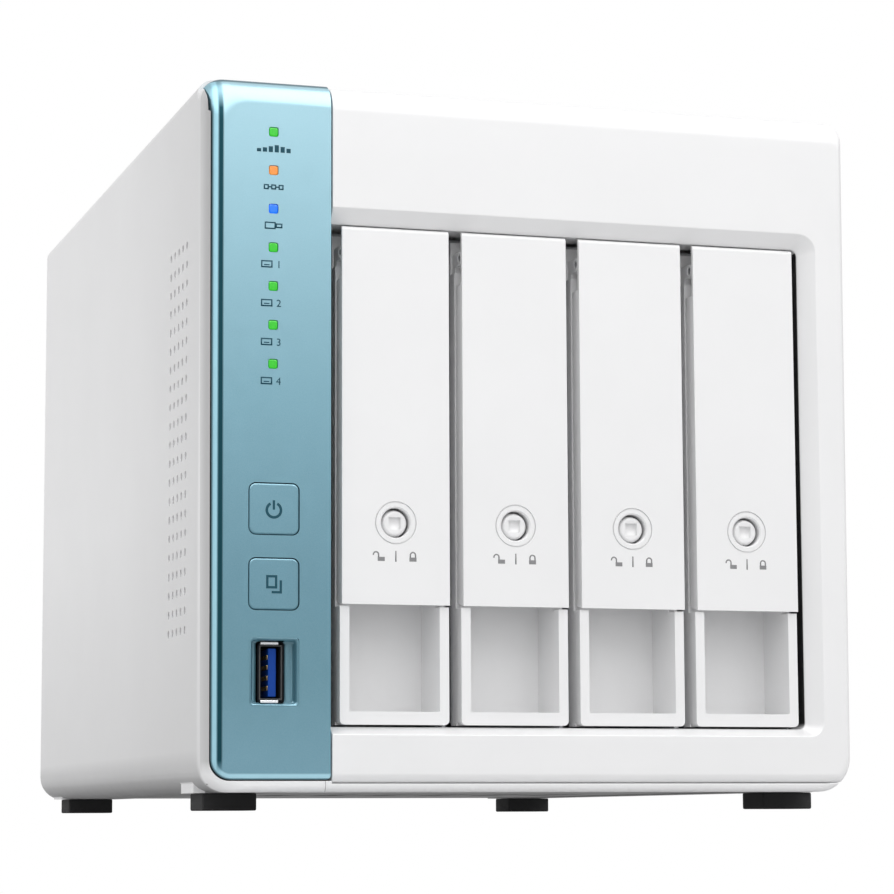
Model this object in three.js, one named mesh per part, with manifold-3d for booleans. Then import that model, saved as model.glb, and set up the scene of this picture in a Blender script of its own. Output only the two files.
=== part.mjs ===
// A desktop network storage enclosure with four hot-swap drive trays.
// Millimetres, +Z up. The front faces -Y, +X is to the right of someone looking at
// the front, and the origin is under the middle of the feet.
import * as THREE from 'three';
import { mergeVertices } from 'three/addons/utils/BufferGeometryUtils.js';
import Module from 'manifold-3d';

const wasm = await Module();
wasm.setup();

// ---- driving dimensions -------------------------------------------------------------
const WIDTH = 160;
const DEPTH = 219;
const HEIGHT = 168.5;
const SIDE = WIDTH / 2;
const FRONT = -DEPTH / 2;
const REAR = DEPTH / 2;
const CLEARANCE = 0.3;            // between pieces that touch

const BASE_Z = 4;                 // underside of the case
const WALL = 2.2;                 // moulded outer walls
const TOP_RADIUS = 4;             // long edges of the shell
const BOTTOM_RADIUS = 6.5;
const CORNER_RADIUS = 5;          // upright front corners
const BROW_RADIUS = 6.5;          // where the front turns over into the top
const BROW_DEPTH = 6.8;           // how far the front mouldings reach back on top
const BROW_STEPS = [0, 0.25, 0.9, 2, 3.4, 5, BROW_DEPTH];
const BEZEL_TOP = HEIGHT - 0.5;   // the bezel sits a little below the shell and panel
const SEAM_Z = 6.1;               // lower edge of the bezel and the accent panel
const RIM_SET_BACK = 0.8;         // how far the rim under the front stands behind it
const FLANGE = 22;                // width of the shell's inturned bottom flanges

const PANEL_RIGHT = -49.9;        // right edge of the accent panel
const PANEL_THICKNESS = 2.3;
const WRAP_ANGLE = 51;            // degrees of the left corner that the shell covers

const OPENING = { x1: 67.8, z0: 18, z1: 135.2 };       // clear tray opening
const BEVEL = { x1: 71.5, z0: 16.9, z1: 138.5, depth: 3 };

const TRAY_COUNT = 4;
const TRAY_PITCH = 29.1;
const TRAYS_X = 9.6;              // middle of the row of trays
const TRAY_WIDTH = 26;
const TRAY_FRONT = FRONT + 1.5;
const TRAY_BOTTOM = 18.9;
const TRAY_TOP = 134;
const DOOR_BOTTOM = 47;
const DOOR_THICKNESS = 5;
const TRAY_TAIL = 48;             // rear end of the tray body

const FINGER = { rim: 2.1, sill: 3, depth: 15 };
const PIVOT = { y: TRAY_FRONT + 3, z: 129, pin: 0.75, bore: 1.05, nose: 1.6 };
const EAR = { inner: 11, outer: 12.6 };
const LOCK = { z: 65.7, radius: 3.6, bore: 3.9, sink: 0.8 };

const CONTROLS_X = -63.3;         // middle of the lamps, buttons and front socket
const LAMP = { z: 155.5, pitch: 9.03, size: 2.3, count: 7 };
const BUTTON = { width: 11.3, height: 11.7, radius: 1.8, skirt: 4.6 };
const POWER_Z = 68;
const COPY_Z = 50.9;
const USB_Z = 31;
const USB_POCKET = { width: 11.3, height: 15, depth: 3.2 };

const BACK_PANEL = { y: REAR - 3.3, thickness: 1.2 };
const FAN = { x: 12, z: 88, size: 120, depth: 24.8, bore: 57.5, screws: 105 };
const BOARD_X = -73.4;            // outer face of the upright mainboard
const BOARD_THICKNESS = 1.6;
const BACKPLANE_Y = 56;

const FOOT = { size: 12.2, height: 3.3, frontX: 69.2, rearX: 67, frontY: -87.9, rearY: 101.4 };

// ---- colours ------------------------------------------------------------------------
const WHITE = [0xececec, 0.42, 0];
const TEAL = [0x7fb2c0, 0.34, 0.55];
const BLACK = [0x161616, 0.6, 0];
const STEEL = [0xb9bcc0, 0.35, 1];
const GREY_METAL = [0x9a9da1, 0.5, 0.9];
const BOARD_GREEN = [0x1f5136, 0.55, 0];
const RUBBER = [0x0d0d0d, 0.85, 0];
const BLUE = [0x1550b8, 0.4, 0];
const LAMP_GREEN = [0x39c23a, 0.3, 0];

// ---- solids -------------------------------------------------------------------------
const group = new THREE.Group();

function solid(geometry) {
  const bare = geometry.clone();
  bare.deleteAttribute('normal');
  bare.deleteAttribute('uv');
  const merged = mergeVertices(bare, 1e-4);
  return new wasm.Manifold(new wasm.Mesh({
    numProp: 3,
    vertProperties: new Float32Array(merged.attributes.position.array),
    triVerts: new Uint32Array(merged.index.array),
  }));
}

function addNode(name, body, [colour, roughness, metalness]) {
  const { numProp, vertProperties, triVerts } = body.getMesh();
  const points = [];
  for (let i = 0; i < vertProperties.length; i += numProp) {
    points.push(vertProperties[i], vertProperties[i + 1], vertProperties[i + 2]);
  }
  const geometry = new THREE.BufferGeometry();
  geometry.setAttribute('position', new THREE.Float32BufferAttribute(points, 3));
  geometry.setIndex([...triVerts]);
  geometry.computeVertexNormals();
  const material = new THREE.MeshStandardMaterial({ color: colour, roughness, metalness });
  const mesh = new THREE.Mesh(geometry, material);
  mesh.name = name;
  group.add(mesh);
}

const join = (...bodies) => bodies.reduce((whole, body) => whole.add(body));
const cut = (whole, ...bodies) => bodies.reduce((rest, body) => rest.subtract(body), whole);

function box(x0, x1, y0, y1, z0, z1) {
  const geometry = new THREE.BoxGeometry(x1 - x0, y1 - y0, z1 - z0);
  geometry.translate((x0 + x1) / 2, (y0 + y1) / 2, (z0 + z1) / 2);
  return solid(geometry);
}

// The outline's first coordinate, its second, and the extrusion, as directions.
const PLANES = {
  x: [new THREE.Vector3(0, 1, 0), new THREE.Vector3(0, 0, 1), new THREE.Vector3(1, 0, 0)],
  y: [new THREE.Vector3(1, 0, 0), new THREE.Vector3(0, 0, 1), new THREE.Vector3(0, -1, 0)],
  z: [new THREE.Vector3(1, 0, 0), new THREE.Vector3(0, 1, 0), new THREE.Vector3(0, 0, 1)],
};

// An outline swept along an axis. Its points are (y, z), (x, z) or (x, y).
function prism(axis, outline, from, to) {
  const shape = new THREE.Shape(outline.map(([a, b]) => new THREE.Vector2(a, b)));
  const geometry = new THREE.ExtrudeGeometry(shape, { depth: to - from, bevelEnabled: false });
  geometry.applyMatrix4(new THREE.Matrix4().makeBasis(...PLANES[axis]));
  const start = axis === 'y' ? to : from;
  geometry.translate(axis === 'x' ? start : 0, axis === 'y' ? start : 0, axis === 'z' ? start : 0);
  return solid(geometry);
}

function arc(a, b, radius, startDegrees, endDegrees, steps) {
  return Array.from({ length: steps + 1 }, (_, i) => {
    const angle = THREE.MathUtils.degToRad(startDegrees + (endDegrees - startDegrees) * i / steps);
    return [a + radius * Math.cos(angle), b + radius * Math.sin(angle)];
  });
}

// A rectangle whose corners are rounded, from low-low round to low-high.
function roundedRectangle(a0, a1, b0, b1, radii, steps = 4) {
  const [r0, r1, r2, r3] = Array.isArray(radii) ? radii : Array(4).fill(radii);
  const corner = (a, b, r, start) => (r > 0 ? arc(a, b, r, start, start + 90, steps) : [[a, b]]);
  return [
    ...corner(a0 + r0, b0 + r0, r0, 180),
    ...corner(a1 - r1, b0 + r1, r1, 270),
    ...corner(a1 - r2, b1 - r2, r2, 0),
    ...corner(a0 + r3, b1 - r3, r3, 90),
  ];
}

function rod(axis, a, b, radius, from, to, sides = 20) {
  return prism(axis, arc(a, b, radius, 0, 360, sides).slice(0, -1), from, to);
}

// A solid through convex outlines in (x, z), each at its own place further along +Y.
function loft(sections) {
  const count = sections[0].outline.length;
  const points = sections.flatMap(({ outline, y }) => outline.flatMap(([x, z]) => [x, y, z]));
  const last = (sections.length - 1) * count;
  const faces = [];
  for (let i = 1; i < count - 1; i += 1) {
    faces.push(0, i, i + 1);
    faces.push(last, last + i + 1, last + i);
  }
  for (let start = 0; start < last; start += count) {
    for (let i = 0; i < count; i += 1) {
      const a = start + i;
      const b = start + (i + 1) % count;
      faces.push(a, b + count, b, a, a + count, b + count);
    }
  }
  const geometry = new THREE.BufferGeometry();
  geometry.setAttribute('position', new THREE.Float32BufferAttribute(points, 3));
  geometry.setIndex(faces);
  return solid(geometry);
}

const range = (count) => Array.from({ length: count }, (_, i) => i);
const trayX = (i) => TRAYS_X + (i - (TRAY_COUNT - 1) / 2) * TRAY_PITCH;

// ---- outer case ---------------------------------------------------------------------
const caseRadii = [BOTTOM_RADIUS, BOTTOM_RADIUS, TOP_RADIUS, TOP_RADIUS];
const caseOutline = roundedRectangle(-SIDE, SIDE, BASE_Z, HEIGHT, caseRadii);

function makeOuterShell() {
  const start = FRONT + BROW_DEPTH + CLEARANCE;
  const innerRadii = caseRadii.map((radius) => Math.max(radius - WALL, 1));
  const inner = roundedRectangle(-SIDE + WALL, SIDE - WALL, BASE_Z + WALL, HEIGHT - WALL, innerRadii);
  const walls = cut(
    prism('y', caseOutline, start, REAR),
    prism('y', inner, start - 1, REAR + 1),
    box(-SIDE + FLANGE, SIDE - FLANGE, start - 1, REAR + 1, BASE_Z - 1, BASE_Z + WALL + 1),
  );
  // the left wall runs forward and round the upright corner as far as the accent panel
  const corner = [-SIDE + CORNER_RADIUS, FRONT + CORNER_RADIUS];
  const strip = prism('z', [
    ...arc(...corner, CORNER_RADIUS, 180, 180 + WRAP_ANGLE, 4),
    ...arc(...corner, CORNER_RADIUS - WALL, 180 + WRAP_ANGLE, 180, 4),
    [-SIDE + WALL, start + 1],
    [-SIDE, start + 1],
  ], BASE_Z, HEIGHT - TOP_RADIUS - 3);
  const rimTop = SEAM_Z - CLEARANCE;
  const rim = box(-SIDE + 2.5, PANEL_RIGHT - 1.3, FRONT + RIM_SET_BACK, start - CLEARANCE, BASE_Z, rimTop);
  const rimRoot = box(-SIDE + 2.5, -SIDE + FLANGE, start - 1, start + 1, BASE_Z, rimTop);
  const lip = join(strip, rim, rimRoot).intersect(prism('y', caseOutline, FRONT - 1, start + 2));
  const bosses = footPlaces().map(([x, y]) => {
    const half = FOOT.size / 2 + 1;
    return box(x - half, x + half, y - half, y + half, FOOT.height + 0.2, BASE_Z + 1);
  });
  return join(walls, lip, ...bosses);
}

function makeBasePlate() {
  const half = SIDE - FLANGE - CLEARANCE;
  const start = FRONT + BROW_DEPTH + CLEARANCE;
  const plate = box(-half, half, start, BACK_PANEL.y - CLEARANCE, BASE_Z + 0.2, BASE_Z + 1.8);
  const rim = box(PANEL_RIGHT - 1, SIDE - 4.5, FRONT + RIM_SET_BACK, start, BASE_Z, SEAM_Z - CLEARANCE);
  const link = box(PANEL_RIGHT - 1, half, start - 1, start + 1, BASE_Z + 0.2, BASE_Z + 1.8);
  const slots = range(6).map((i) => box(-40 + i * 15, -30 + i * 15, -20, 20, BASE_Z - 1, BASE_Z + 3));
  return cut(join(plate, rim, link), ...slots);
}

// How far a rounded edge of this radius stands back, at a depth behind the front.
function setBack(radius, depth) {
  return depth < radius ? radius - Math.sqrt(radius ** 2 - (radius - depth) ** 2) : 0;
}

// The front mouldings' common outer form: the case's outline, with its edges rounded back.
function frontForm(x0, x1, top) {
  const sections = BROW_STEPS.map((depth) => {
    const side = SIDE - setBack(CORNER_RADIUS, depth);
    const upper = top - setBack(BROW_RADIUS, depth);
    return { outline: roundedRectangle(-side, side, BASE_Z, upper, caseRadii), y: FRONT + depth };
  });
  return loft(sections).intersect(box(x0, x1, FRONT - 1, REAR, SEAM_Z, HEIGHT + 1));
}

const panelBack = FRONT + PANEL_THICKNESS;
const lampZ = (i) => LAMP.z - i * LAMP.pitch;
const buttonOutline = (z, grow) => roundedRectangle(
  CONTROLS_X - BUTTON.width / 2 - grow, CONTROLS_X + BUTTON.width / 2 + grow,
  z - BUTTON.height / 2 - grow, z + BUTTON.height / 2 + grow, BUTTON.radius + grow, 2,
);
const pocketOutline = (grow) => roundedRectangle(
  CONTROLS_X - USB_POCKET.width / 2 - grow, CONTROLS_X + USB_POCKET.width / 2 + grow,
  USB_Z - USB_POCKET.height / 2 - grow, USB_Z + USB_POCKET.height / 2 + grow, 0.8, 1,
);

function makeAccentPanel() {
  const form = frontForm(-SIDE, PANEL_RIGHT, HEIGHT);
  const hollow = box(-SIDE, SIDE, panelBack, REAR, SEAM_Z - 1, HEIGHT - PANEL_THICKNESS);
  // leave the shell its part of the corner
  const corner = [-SIDE + CORNER_RADIUS, FRONT + CORNER_RADIUS];
  const shellCorner = prism('z', [
    corner,
    ...arc(...corner, CORNER_RADIUS + 2, 175, 180 + WRAP_ANGLE + 3, 4),
  ], SEAM_Z - 1, HEIGHT - TOP_RADIUS - 2.7);
  const windows = range(LAMP.count).map((i) => {
    const half = LAMP.size / 2;
    const z = lampZ(i);
    return box(CONTROLS_X - half, CONTROLS_X + half, FRONT - 1, panelBack + 1, z - half, z + half);
  });
  const holes = [
    prism('y', buttonOutline(POWER_Z, CLEARANCE), FRONT - 1, panelBack + 1),
    prism('y', buttonOutline(COPY_Z, CLEARANCE), FRONT - 1, panelBack + 1),
    prism('y', pocketOutline(0), FRONT - 1, panelBack + 1),
  ];
  return cut(form, hollow, shellCorner, ...windows, ...holes);
}

function makeFrontBezel() {
  const right = frontForm(PANEL_RIGHT + 0.5, SIDE, BEZEL_TOP);
  const hollow = prism('y', roundedRectangle(
    PANEL_RIGHT - 30, SIDE - WALL, SEAM_Z + WALL, BEZEL_TOP - WALL, [0, 4, 3, 0],
  ), FRONT + 3.4, FRONT + 20);
  const backing = box(
    -SIDE + 5.5, PANEL_RIGHT + 1.5, panelBack + CLEARANCE, panelBack + 2.3, SEAM_Z + 2, HEIGHT - 5,
  );
  const outer = roundedRectangle(PANEL_RIGHT - 8, BEVEL.x1, BEVEL.z0, BEVEL.z1, [0, 3.6, 4, 0], 3);
  const inner = roundedRectangle(PANEL_RIGHT - 8, OPENING.x1, OPENING.z0, OPENING.z1, [0, 1.6, 1.6, 0], 3);
  const flare = loft([{ outline: outer, y: FRONT - 0.01 }, { outline: inner, y: FRONT + BEVEL.depth }]);
  const clear = prism('y', roundedRectangle(
    PANEL_RIGHT + 0.5, OPENING.x1, OPENING.z0, OPENING.z1, [0, 1.6, 1.6, 0], 3,
  ), FRONT - 1, FRONT + 20);
  const lamps = box(
    CONTROLS_X - 2.2, CONTROLS_X + 2.2, FRONT, FRONT + 9, lampZ(LAMP.count - 1) - 3, lampZ(0) + 3,
  );
  const holes = [
    prism('y', buttonOutline(POWER_Z, 0.8), FRONT, FRONT + 9),
    prism('y', buttonOutline(COPY_Z, 0.8), FRONT, FRONT + 9),
    prism('y', pocketOutline(CLEARANCE), FRONT, FRONT + 9),
  ];
  const flareRight = flare.intersect(box(PANEL_RIGHT + 0.5, SIDE, FRONT - 1, REAR, 0, HEIGHT));
  return cut(join(cut(right, hollow), backing), flareRight, clear, lamps, ...holes);
}

// ---- controls behind the accent panel -----------------------------------------------
function makeLightPipe() {
  const bottom = lampZ(LAMP.count - 1) - 2;
  const spine = box(
    CONTROLS_X - 1.4, CONTROLS_X + 1.4, panelBack + 1.6, panelBack + 2.8, bottom, lampZ(0) + 2,
  );
  const half = LAMP.size / 2 - 0.15;
  const tips = range(LAMP.count).map((i) => box(
    CONTROLS_X - half, CONTROLS_X + half, FRONT + 0.1, panelBack + 2, lampZ(i) - half, lampZ(i) + half,
  ));
  return join(spine, ...tips);
}

function makeButton(z) {
  const cap = prism('y', buttonOutline(z, 0), FRONT, FRONT + BUTTON.skirt);
  const stemStart = FRONT + BUTTON.skirt - 1;
  const stem = box(CONTROLS_X - 1.5, CONTROLS_X + 1.5, stemStart, FRONT + 7.6, z - 1.5, z + 1.5);
  return join(cap, stem);
}

const FRONT_BOARD_Y = FRONT + 13;

function makeFrontBoard() {
  return box(-76.5, -52, FRONT_BOARD_Y, FRONT_BOARD_Y + BOARD_THICKNESS, 16, 162);
}

// A push switch on the front board, just behind a button's stem.
function makeSwitch(z) {
  const body = box(CONTROLS_X - 3, CONTROLS_X + 3, FRONT_BOARD_Y - 3.3, FRONT_BOARD_Y - 0.2, z - 3, z + 3);
  return join(body, rod('y', CONTROLS_X, z, 1.6, FRONT + 9, FRONT_BOARD_Y - 3, 12));
}

const USB_SHELL_Y = FRONT + USB_POCKET.depth - 0.6;

function makeUsbPocket() {
  const outer = prism('y', pocketOutline(-CLEARANCE), FRONT + 0.4, FRONT + USB_POCKET.depth + 1.2);
  const inside = prism('y', pocketOutline(-1), FRONT, FRONT + USB_POCKET.depth);
  const socket = box(CONTROLS_X - 3.5, CONTROLS_X + 3.5, FRONT, FRONT + 9, USB_Z - 7.3, USB_Z + 7.3);
  const slim = box(CONTROLS_X - 3.8, CONTROLS_X + 3.8, FRONT + 3, FRONT + 4.2, USB_Z - 7.5, USB_Z + 7.5);
  return cut(join(outer, slim), inside, socket);
}

// A USB type A receptacle standing on its long side, open towards `open` (-1 front, +1 rear).
function usbShell(x, z, y0, y1, open) {
  const back = open < 0 ? [y0 - 1, y1 - 0.8] : [y0 + 0.8, y1 + 1];
  const can = box(x - 3.1, x + 3.1, y0, y1, z - 7, z + 7);
  return cut(can, box(x - 2.6, x + 2.6, ...back, z - 6.5, z + 6.5));
}

function usbTongue(x, z, y0, y1) {
  return box(x - 1.9, x - 0.1, y0, y1, z - 5.5, z + 5.5);
}

// ---- drive cage, backplane and boards -----------------------------------------------
const CAGE = { y0: FRONT + 12, y1: BACKPLANE_Y - 3, z0: 19.2, z1: 133.8, sheet: 1.2 };

function makeDriveCage() {
  const left = TRAYS_X - TRAY_COUNT / 2 * TRAY_PITCH;
  const right = TRAYS_X + TRAY_COUNT / 2 * TRAY_PITCH;
  const shelves = [
    box(left, right, CAGE.y0, CAGE.y1, CAGE.z0 - CAGE.sheet, CAGE.z0),
    box(left, right, CAGE.y0, CAGE.y1, CAGE.z1, CAGE.z1 + CAGE.sheet),
  ];
  const walls = range(TRAY_COUNT + 1).map((i) => {
    const x = left + i * TRAY_PITCH - CAGE.sheet / 2;
    return box(x, x + CAGE.sheet, CAGE.y0, CAGE.y1, CAGE.z0 - 0.5, CAGE.z1 + 0.5);
  });
  const legs = [left + 4, right - 10].flatMap((x) => [CAGE.y0 + 8, CAGE.y1 - 20].map(
    (y) => box(x, x + 8, y, y + 12, BASE_Z + WALL + CLEARANCE, CAGE.z0 - 0.5),
  ));
  return join(...shelves, ...walls, ...legs);
}

function makeBackplane() {
  const plate = box(TRAYS_X - 58, TRAYS_X + 58, BACKPLANE_Y, BACKPLANE_Y + BOARD_THICKNESS, 22, 131);
  const vents = range(TRAY_COUNT).map(
    (i) => box(trayX(i) - 8, trayX(i) + 8, BACKPLANE_Y - 1, BACKPLANE_Y + 3, 80, 124),
  );
  return cut(plate, ...vents);
}

// A combined data and power drive connector: an upright block with one long slot.
function makeDriveConnector(i) {
  const x = trayX(i) + 4;
  const block = box(x - 3, x + 3, BACKPLANE_Y - 6.2, BACKPLANE_Y - 0.2, 30, 74);
  return cut(block, box(x - 1.2, x + 1.2, BACKPLANE_Y - 7, BACKPLANE_Y - 2, 32, 72));
}

function makeMainboard() {
  return box(BOARD_X, BOARD_X + BOARD_THICKNESS, -58, 104.5, 12, 150);
}

function makeHeatSink() {
  const x = BOARD_X + BOARD_THICKNESS + 0.2;
  const plate = box(x, x + 3, 10, 50, 70, 110);
  const fins = range(7).map((i) => box(x + 2, x + 13, 10, 50, 70 + i * 6.4, 71.6 + i * 6.4));
  return join(plate, ...fins);
}

// ---- rear ---------------------------------------------------------------------------
const CONNECTOR_X = BOARD_X + BOARD_THICKNESS + 0.3;   // connectors' face on the board
const PORTS = {
  reset: { x: -66, z: 133 },
  usb: [117, 98],
  lan: [76, 55],
  power: { x: -65.6, z: 31 },
};
const LAN = { height: 13.4, width: 16, depth: 21 };
const panelOuter = BACK_PANEL.y + BACK_PANEL.thickness;

const fanScrews = () => [[-1, -1], [1, -1], [1, 1], [-1, 1]].map(
  ([a, b]) => [FAN.x + a * FAN.screws / 2, FAN.z + b * FAN.screws / 2],
);
const coverScrews = () => [[-70, 160], [70, 160], [70, 12]];

function makeRearPanel() {
  const y0 = BACK_PANEL.y;
  const plate = prism('y', roundedRectangle(
    -SIDE + WALL + CLEARANCE, SIDE - WALL - CLEARANCE, BASE_Z + WALL + CLEARANCE,
    HEIGHT - WALL - CLEARANCE, [4.5, 4.5, 2, 2], 2,
  ), y0, panelOuter);
  const through = [y0 - 1, panelOuter + 1];
  const holes = [
    rod('y', FAN.x, FAN.z, FAN.bore - 1.5, ...through, 40),
    rod('y', PORTS.reset.x, PORTS.reset.z, 1.3, ...through, 10),
    rod('y', PORTS.power.x, PORTS.power.z, 5, ...through, 20),
    ...fanScrews().map(([x, z]) => rod('y', x, z, 2, ...through, 10)),
    ...coverScrews().map(([x, z]) => rod('y', x, z, 2, ...through, 10)),
    ...PORTS.usb.map((z) => box(CONNECTOR_X - 0.4, CONNECTOR_X + 6.7, ...through, z - 7.4, z + 7.4)),
    ...PORTS.lan.map((z) => box(
      CONNECTOR_X - 0.4, CONNECTOR_X + LAN.height + 0.4, ...through,
      z - LAN.width / 2 - 0.4, z + LAN.width / 2 + 0.4,
    )),
    box(-74.5, -67.5, ...through, 13.5, 16.5),
  ];
  return cut(plate, ...holes);
}

// A network jack lying on its side on the upright board.
function makeLanPort(z) {
  const y1 = panelOuter + 0.4;
  const x1 = CONNECTOR_X + LAN.height;
  const half = LAN.width / 2;
  const body = box(CONNECTOR_X, x1, y1 - LAN.depth, y1, z - half, z + half);
  const mouth = box(CONNECTOR_X + 3.4, x1 - 1.2, y1 - 15, y1 + 1, z - 6, z + 6);
  const latch = box(CONNECTOR_X + 1.2, CONNECTOR_X + 4, y1 - 15, y1 + 1, z - 3, z + 3);
  return cut(body, mouth, latch);
}

function makeRearUsb(z) {
  const x = CONNECTOR_X + 3.2;
  const y1 = panelOuter + 0.4;
  const shell = usbShell(x, z, y1 - 16, y1, 1);
  return join(shell, usbTongue(x, z, y1 - 15.6, y1 - 1.5));
}

function makePowerInlet() {
  const { x, z } = PORTS.power;
  const y1 = BACK_PANEL.y - CLEARANCE;
  const body = box(CONNECTOR_X, CONNECTOR_X + 11, y1 - 13.7, y1, z - 5.5, z + 5.5);
  const collar = rod('y', x, z, 4.6, BACK_PANEL.y - 1, panelOuter + 0.5, 20);
  const bore = rod('y', x, z, 3.2, BACK_PANEL.y - 10, panelOuter + 1, 20);
  const pin = rod('y', x, z, 1.05, BACK_PANEL.y - 11, panelOuter - 0.6, 10);
  return join(cut(join(body, collar), bore), pin);
}

function makeResetSwitch() {
  const { x, z } = PORTS.reset;
  const body = box(CONNECTOR_X, x + 3.4, BACK_PANEL.y - 9, BACK_PANEL.y - 3.4, z - 3.2, z + 3.2);
  return cut(body, rod('y', x, z, 1.2, BACK_PANEL.y - 6.5, BACK_PANEL.y, 12));
}

function makeResetPlunger() {
  const { x, z } = PORTS.reset;
  return rod('y', x, z, 0.9, BACK_PANEL.y - 5.6, BACK_PANEL.y - 1.2, 12);
}

function makeFanFrame() {
  const y1 = BACK_PANEL.y - 0.2;
  const y0 = y1 - FAN.depth;
  const half = FAN.size / 2;
  const outline = roundedRectangle(FAN.x - half, FAN.x + half, FAN.z - half, FAN.z + half, 5, 2);
  const block = prism('y', outline, y0, y1);
  const bored = cut(block, rod('y', FAN.x, FAN.z, FAN.bore, y0 - 1, y1 + 1, 40));
  const struts = range(4).map((i) => {
    const bar = new THREE.BoxGeometry(FAN.bore + 1, 2.4, 4);
    bar.translate(FAN.bore / 2 + 1, 0, 0);
    bar.rotateY(THREE.MathUtils.degToRad(i * 90 + 20));
    bar.translate(FAN.x, y0 + 1.4, FAN.z);
    return solid(bar);
  });
  const mount = rod('y', FAN.x, FAN.z, 20, y0 + 0.2, y0 + 2.6, 24);
  const screwHoles = fanScrews().map(([x, z]) => rod('y', x, z, 2.1, y0 - 1, y1 + 1, 8));
  return cut(join(bored, mount, ...struts), ...screwHoles);
}

function makeFanRotor() {
  const y1 = BACK_PANEL.y - 1.4;
  const y0 = BACK_PANEL.y - 0.2 - FAN.depth + 3.2;
  const hub = rod('y', FAN.x, FAN.z, 19, y0, y1, 24);
  const blades = range(7).map((i) => {
    const blade = new THREE.BoxGeometry(37, 1.5, 24);
    blade.rotateX(THREE.MathUtils.degToRad(52));
    blade.translate(18 + 18.5, 0, 0);
    blade.rotateY(THREE.MathUtils.degToRad(i * 360 / 7));
    blade.translate(FAN.x, (y0 + y1) / 2, FAN.z);
    return solid(blade);
  });
  return join(hub, ...blades);
}

// A finger guard of flat rings and spokes, with a tab for each fan screw.
function makeFanGuard() {
  const y0 = panelOuter + 0.15;
  const y1 = y0 + 0.8;
  const ring = (radius) => cut(
    rod('y', FAN.x, FAN.z, radius + 0.9, y0, y1, 24),
    rod('y', FAN.x, FAN.z, radius - 0.9, y0 - 1, y1 + 1, 24),
  );
  const rings = [15, 29, 43, 57].map(ring);
  const spokes = range(2).map((i) => {
    const bar = new THREE.BoxGeometry(FAN.screws * Math.SQRT2 + 6, 0.8, 2.4);
    bar.rotateY(THREE.MathUtils.degToRad(45 + i * 90));
    bar.translate(FAN.x, (y0 + y1) / 2, FAN.z);
    return solid(bar);
  });
  const tabs = fanScrews().map(([x, z]) => rod('y', x, z, 4, y0, y1, 16));
  const holes = fanScrews().map(([x, z]) => rod('y', x, z, 1.9, y0 - 1, y1 + 1, 10));
  return cut(join(...rings, ...spokes, ...tabs), ...holes);
}

function makeScrew(x, z, seat, length) {
  const head = rod('y', x, z, 2.9, seat, seat + 0.9, 16);
  const shank = rod('y', x, z, 1.4, seat - length, seat + 0.2, 10);
  return join(head, shank);
}

// ---- drive trays --------------------------------------------------------------------
function makeTrayCarrier(i) {
  const x = trayX(i);
  const half = TRAY_WIDTH / 2;
  const y0 = TRAY_FRONT;
  const back = y0 + DOOR_THICKNESS;
  const mouthTop = DOOR_BOTTOM - 0.3;
  const face = box(x - half, x + half, y0, back + 0.2, TRAY_BOTTOM, mouthTop);
  const hood = box(x - 12.2, x + 12.2, back + 0.1, y0 + FINGER.depth + 2, TRAY_BOTTOM + 1, 58);
  const reach = half - FINGER.rim;
  const sill = TRAY_BOTTOM + FINGER.sill;
  const pocket = box(x - reach, x + reach, y0 - 1, y0 + FINGER.depth, sill, mouthTop + 1);
  const behindDoor = box(x - reach, x + reach, back - 0.5, y0 + FINGER.depth, mouthTop, 55);
  const front = cut(join(face, hood), pocket, behindDoor);

  // an upright plate behind the door, and the two ears that carry its pin
  const plate = box(x - 12.2, x + 12.2, y0 + 9, y0 + 11, 57, 125);
  const ears = [-1, 1].map((side) => {
    const span = side < 0 ? [x - EAR.outer, x - EAR.inner] : [x + EAR.inner, x + EAR.outer];
    const arm = prism('x', [
      [y0 + 9.5, PIVOT.z - 6],
      [y0 + 11, PIVOT.z - 6],
      [y0 + 11, PIVOT.z + PIVOT.nose],
      ...arc(PIVOT.y, PIVOT.z, PIVOT.nose, 90, 270, 8),
      [y0 + 9.5, PIVOT.z - PIVOT.nose],
    ], ...span);
    return cut(arm, rod('x', PIVOT.y, PIVOT.z, PIVOT.bore, span[0] - 1, span[1] + 1, 12));
  });

  // the drive lies against a side plate between a floor rail and a roof rail
  const bodyFront = y0 + 9.5;
  const side = box(x - 12.2, x - 10.8, bodyFront, TRAY_TAIL, 22, 129);
  const rails = [
    box(x - 12.2, x + 12.2, bodyFront, TRAY_TAIL, 20.4, 22.4),
    box(x - 12.2, x + 4, y0 + 12, TRAY_TAIL, 128.6, 130.6),
  ];
  const lift = box(x - 12.2, x + 12.2, y0 + 9, y0 + 17, 57.5, 59);
  return join(front, plate, ...ears, side, ...rails, lift);
}

// The door is a lever: its lower edge is pulled forward, and it turns on a pin near the top.
function makeTrayHandle(i) {
  const x = trayX(i);
  const half = TRAY_WIDTH / 2;
  const y1 = TRAY_FRONT + DOOR_THICKNESS;
  const profile = prism('x', [
    [TRAY_FRONT, DOOR_BOTTOM],
    [y1, DOOR_BOTTOM],
    [y1, TRAY_TOP - 0.6],
    [y1 - 0.6, TRAY_TOP],
    ...arc(TRAY_FRONT + 1.5, TRAY_TOP - 1.5, 1.5, 90, 180, 3),
  ], x - half, x + half);
  const pockets = [-1, 1].map((side) => {
    const inner = EAR.inner - CLEARANCE;
    const span = side < 0 ? [x - half - 1, x - inner] : [x + inner, x + half + 1];
    return box(...span, TRAY_FRONT + 1.1, y1 + 1, PIVOT.z - 8, TRAY_TOP + 1);
  });
  const bore = rod('x', PIVOT.y, PIVOT.z, PIVOT.bore, x - half - 1, x + half + 1, 12);
  const hollow = box(x - half + 2, x + half - 2, TRAY_FRONT + 2, y1 + 1, 74, PIVOT.z - 8);
  const lockBore = rod('y', x, LOCK.z, LOCK.bore, TRAY_FRONT - 1, y1 + 1, 24);
  return cut(profile, ...pockets, bore, hollow, lockBore);
}

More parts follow.
